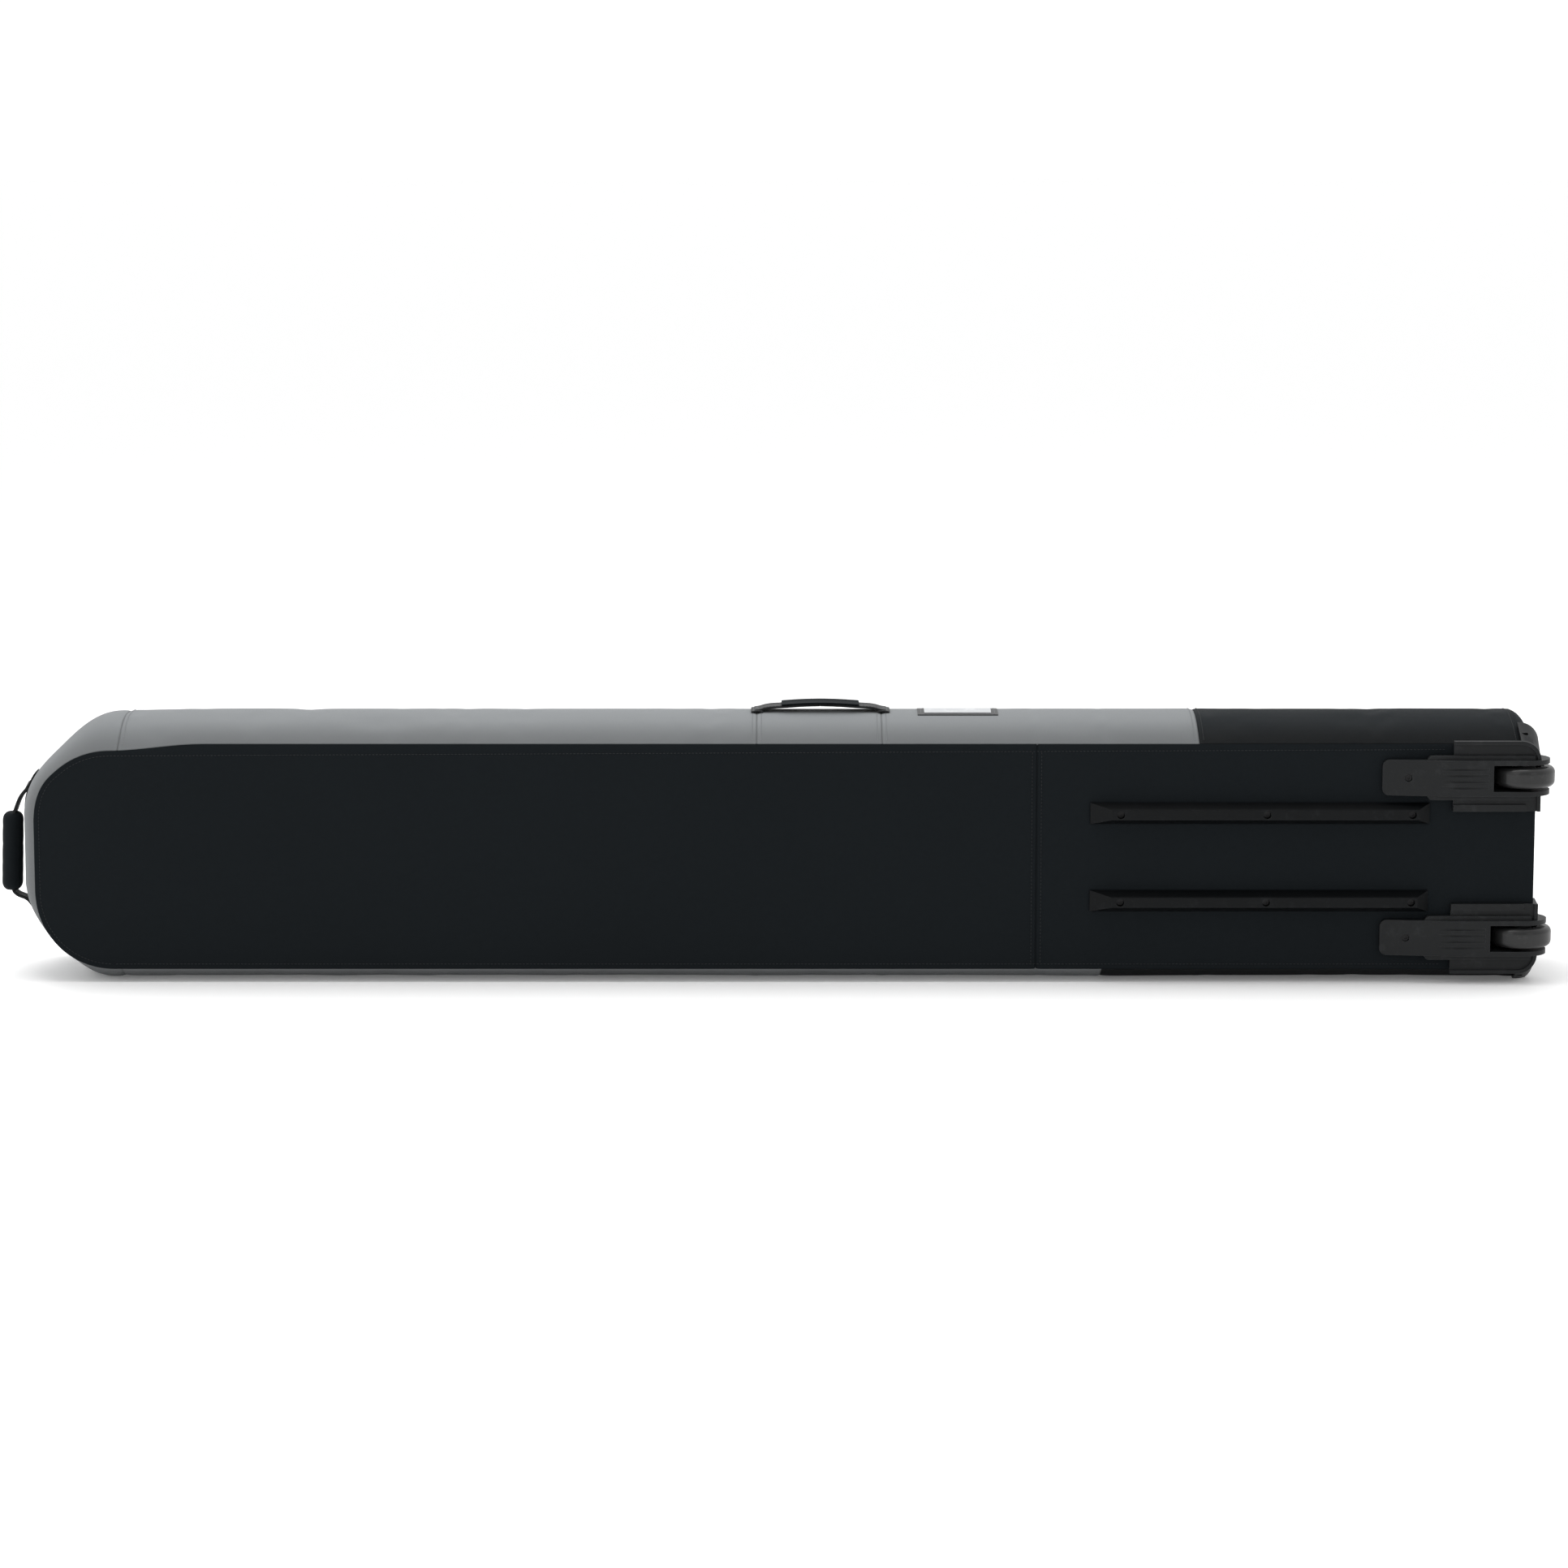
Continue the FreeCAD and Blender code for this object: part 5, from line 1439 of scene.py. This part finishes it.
# The label beside the handle: a soft moulded patch, sewn on along its dark rounded border,
# with a plain pale field that is left blank.
label_border_plastic = moulded_material("label_rubber", (0.010, 0.011, 0.012), (0.024, 0.026, 0.028), 0.45)
label_field_plastic = moulded_material("label_field", (0.36, 0.37, 0.38), (0.50, 0.51, 0.52), 0.5)
finish_node(label_border_plastic, "label_border")
finish_node(label_field_plastic, "label_field")
LABEL_LOW, LABEL_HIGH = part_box("label_border")
label_tree = tree_of(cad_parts["label_border"])
label_corners = [Vector((x, y, LABEL_HIGH.z)) for x,
                 y in ((LABEL_LOW.x + 0.004, LABEL_LOW.y + 0.004),
                       (LABEL_HIGH.x - 0.004, LABEL_LOW.y + 0.004),
                                                           (LABEL_HIGH.x - 0.004, LABEL_HIGH.y - 0.004),
                       (LABEL_LOW.x + 0.004, LABEL_HIGH.y - 0.004))]
sew("label_stitches", [label_corners + label_corners[:1]], label_tree, grey_thread, "bag_body")


# The nose handle: webbing that leaves two stitched patches on the nose and runs through a
# padded cloth grip. The webbing is curved where it leaves the patches.
NOSE_LOW, NOSE_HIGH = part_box("nose_handle_strap")
GRIP_LOW, GRIP_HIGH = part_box("nose_handle_grip")
NOSE_MID_Y = (NOSE_LOW.y + NOSE_HIGH.y) / 2
NOSE_HALF = (NOSE_HIGH.y - NOSE_LOW.y) / 2
NOSE_THICK = 0.0034
NOSE_TOP_Z = 0.221
NOSE_LOW_Z = 0.084
GRIP_TOP_X = -0.9030
GRIP_LOW_X = -0.9060
def on_nose(depth, z, lift):
    """A point off the nose wall at a depth and height."""
    above = max(0.0, abs(z - MID_Z) - HALF_HEIGHT + NOSE_R)
    x = NOSE_X + NOSE_R - math.sqrt(NOSE_R ** 2 - above ** 2)
    out = outward(x, z) if above > 0 else Vector((-1, 0, 0))
    return pushed_out(x, z, out, depth) + out * lift


def strap_point(z, lift):
    """A point (x, z) of the handle's webbing where it lies along the nose, lifted off the cloth."""
    point = on_nose(NOSE_MID_Y - BASE_Y, z, lift)
    return (point.x, point.z)


for name, line in (
        ("nose_strap_top", arc_line([strap_point(NOSE_TOP_Z - 0.003, 0.0016),
                                     strap_point(NOSE_TOP_Z - 0.010, 0.0024),
                                     strap_point(NOSE_TOP_Z - 0.017, 0.0080),
                                     (GRIP_TOP_X + 0.003, GRIP_HIGH.z + 0.004),
                                     (GRIP_TOP_X, GRIP_HIGH.z - 0.004),
                                     (GRIP_TOP_X - 0.001, GRIP_HIGH.z - 0.030)])),
        ("nose_strap_low", arc_line([(GRIP_LOW_X + 0.002, GRIP_LOW.z + 0.030),
                                     (GRIP_LOW_X, GRIP_LOW.z + 0.001),
                                     (GRIP_LOW_X + 0.006, GRIP_LOW.z - 0.006),
                                     strap_point(NOSE_LOW_Z + 0.006, 0.0040),
                                     strap_point(NOSE_LOW_Z, 0.0018),
                                     strap_point(NOSE_LOW_Z - 0.005, 0.0014)]))):
    strap = band_piece(name, line, NOSE_HALF, NOSE_THICK, NOSE_MID_Y, black_webbing)
    if strap.data.polygons[len(strap.data.polygons) // 2].normal.x > 0:
        strap.data.flip_normals()
    thicken_cloth(strap, NOSE_THICK, offset=0.0)
    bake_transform(strap)
    if name == "nose_strap_top":
        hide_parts("nose_handle_strap")

bpy.ops.object.select_all(action="DESELECT")
bpy.ops.mesh.primitive_cylinder_add(vertices=32, radius=1, depth=1, end_fill_type="TRIFAN")
grip = bpy.context.object
grip.name = "nose_grip_pad"
bpy.ops.object.mode_set(mode="EDIT")
bpy.ops.mesh.select_mode(type="EDGE")
select_in_mesh("edges", lambda edge: abs(edge.verts[0].co.z - edge.verts[1].co.z) > 0.9)
bpy.ops.mesh.subdivide(number_cuts=21)
bpy.ops.object.mode_set(mode="OBJECT")
GRIP_HALF_X = 0.0125
GRIP_HALF_Y = (GRIP_HIGH.y - GRIP_LOW.y) / 2 - 0.0008
GRIP_WRINKLES = ((0.20, 0.0005), (0.38, 0.0004), (0.60, 0.0005), (0.81, 0.0004))
grip_length = GRIP_HIGH.z - GRIP_LOW.z
for vertex in grip.data.vertices:
    at = vertex.co.z + 0.5
    end_share = min(at, 1 - at) * 2
    full = 0.62 + 0.38 * math.sqrt(max(0.0, 1 - (1 - min(1.0, end_share * 4.5)) ** 2))
    for place, sink in GRIP_WRINKLES:
        full -= sink / GRIP_HALF_X * math.exp(-((at - place) / 0.02) ** 2)
    seam = 0.0007 * math.exp(-((vertex.co.y / 0.10) ** 2)) if vertex.co.x > 0 else 0.0
    lean = GRIP_LOW_X + (GRIP_TOP_X - GRIP_LOW_X) * at
    vertex.co = Vector((lean + vertex.co.x * (GRIP_HALF_X * full - seam),
                        NOSE_MID_Y + vertex.co.y * GRIP_HALF_Y * full,
                        GRIP_LOW.z + grip_length * at))
grip_map = grip.data.uv_layers.active
grip_map.name = "cut"
for loop in grip.data.loops:
    place = grip.data.vertices[loop.vertex_index].co
    turn = math.atan2(place.y - NOSE_MID_Y, place.x - (GRIP_TOP_X + GRIP_LOW_X) / 2)
    grip_map.data[loop.index].uv = (turn * 0.013, place.z)
only_material(grip, black_cloth)
soft = grip.modifiers.new("soften", "SUBSURF")
soft.levels = 1
soft.render_levels = 1
apply_modifiers(grip)
grip.data.shade_smooth()
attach(grip, "nose_handle")
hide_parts("nose_handle_grip")
grip_side = [Vector((GRIP_LOW_X + (GRIP_TOP_X - GRIP_LOW_X) * share - 0.02, NOSE_MID_Y + 0.0115,
                     GRIP_LOW.z + grip_length * share))
             for share in (0.08, 0.92)]
sew("nose_grip_stitches", [[point + Vector((0, -0.023 * edge, 0)) for point in grip_side] for edge in (0, 1)],
    tree_of(grip), black_thread, "nose_handle")


nose_patch_depth = (NOSE_ANCHOR_LOW.y - BASE_Y, NOSE_ANCHOR_HIGH.y - BASE_Y)
for name, middle in (("nose_patch_top", NOSE_TOP_Z), ("nose_patch_low", NOSE_LOW_Z)):
    patch = sewn_patch(name, spread(nose_patch_depth, 0.003), spread([middle - 0.009, middle + 0.009], 0.003),
                       lambda depth, z: on_nose(depth, z, PATCH_LIFT), (-1, 0, 0), 0.0014, black_webbing,
                       "bag_body",
                       "webbing", *(["nose_handle_anchors"] if middle == NOSE_TOP_Z else []))
    corners = [on_nose(depth, z, 0.003) for depth, z in (
        (nose_patch_depth[0] + 0.003, middle - 0.006), (nose_patch_depth[1] - 0.003, middle - 0.006),
        (nose_patch_depth[1] - 0.003, middle + 0.006), (nose_patch_depth[0] + 0.003, middle + 0.006))]
    sew(name + "_stitches", [corners + corners[:1]], tree_of(patch), grey_thread, "bag_body")

sewn_patch("nose_backing", spread([NOSE_MID_Y - 0.0060, NOSE_MID_Y + 0.0060], 0.004),
                     spread([NOSE_LOW_Z + 0.006, NOSE_TOP_Z - 0.006], 0.006), lambda depth_y,
           z: on_nose(depth_y - BASE_Y, z, 0.0005),
                     (-1, 0, 0), 0.0012, black_webbing, "bag_body", "webbing")


# The two hold-down straps inside: flat webbing sewn to the lining at each end, which meets in
# a side-release buckle over the board.
WEB_LIFT = 0.0008
for name, node, body in (("hold_down_lower", "strap_webbing_lower", "bag_body"),
                         ("hold_down_upper", "strap_webbing_upper", "bag_body")):
    web_low, web_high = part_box(node)
    for number, middle_x in ((1, web_low.x + 0.0125), (2, web_high.x - 0.0125)):
        piece = sewn_patch(f"{name}_{number}", spread([middle_x - 0.0125, middle_x + 0.0125], 0.004),
                           spread([web_low.z, web_high.z], 0.004),
                           lambda x, z: Vector((x, web_low.y + WEB_LIFT + 0.0003 * math.sin(z * 120 + x * 9),
                                                z)),
                           (0, 1, 0), 0.0013, black_webbing, body, "webbing",
                           *([node] if number == 1 else []))
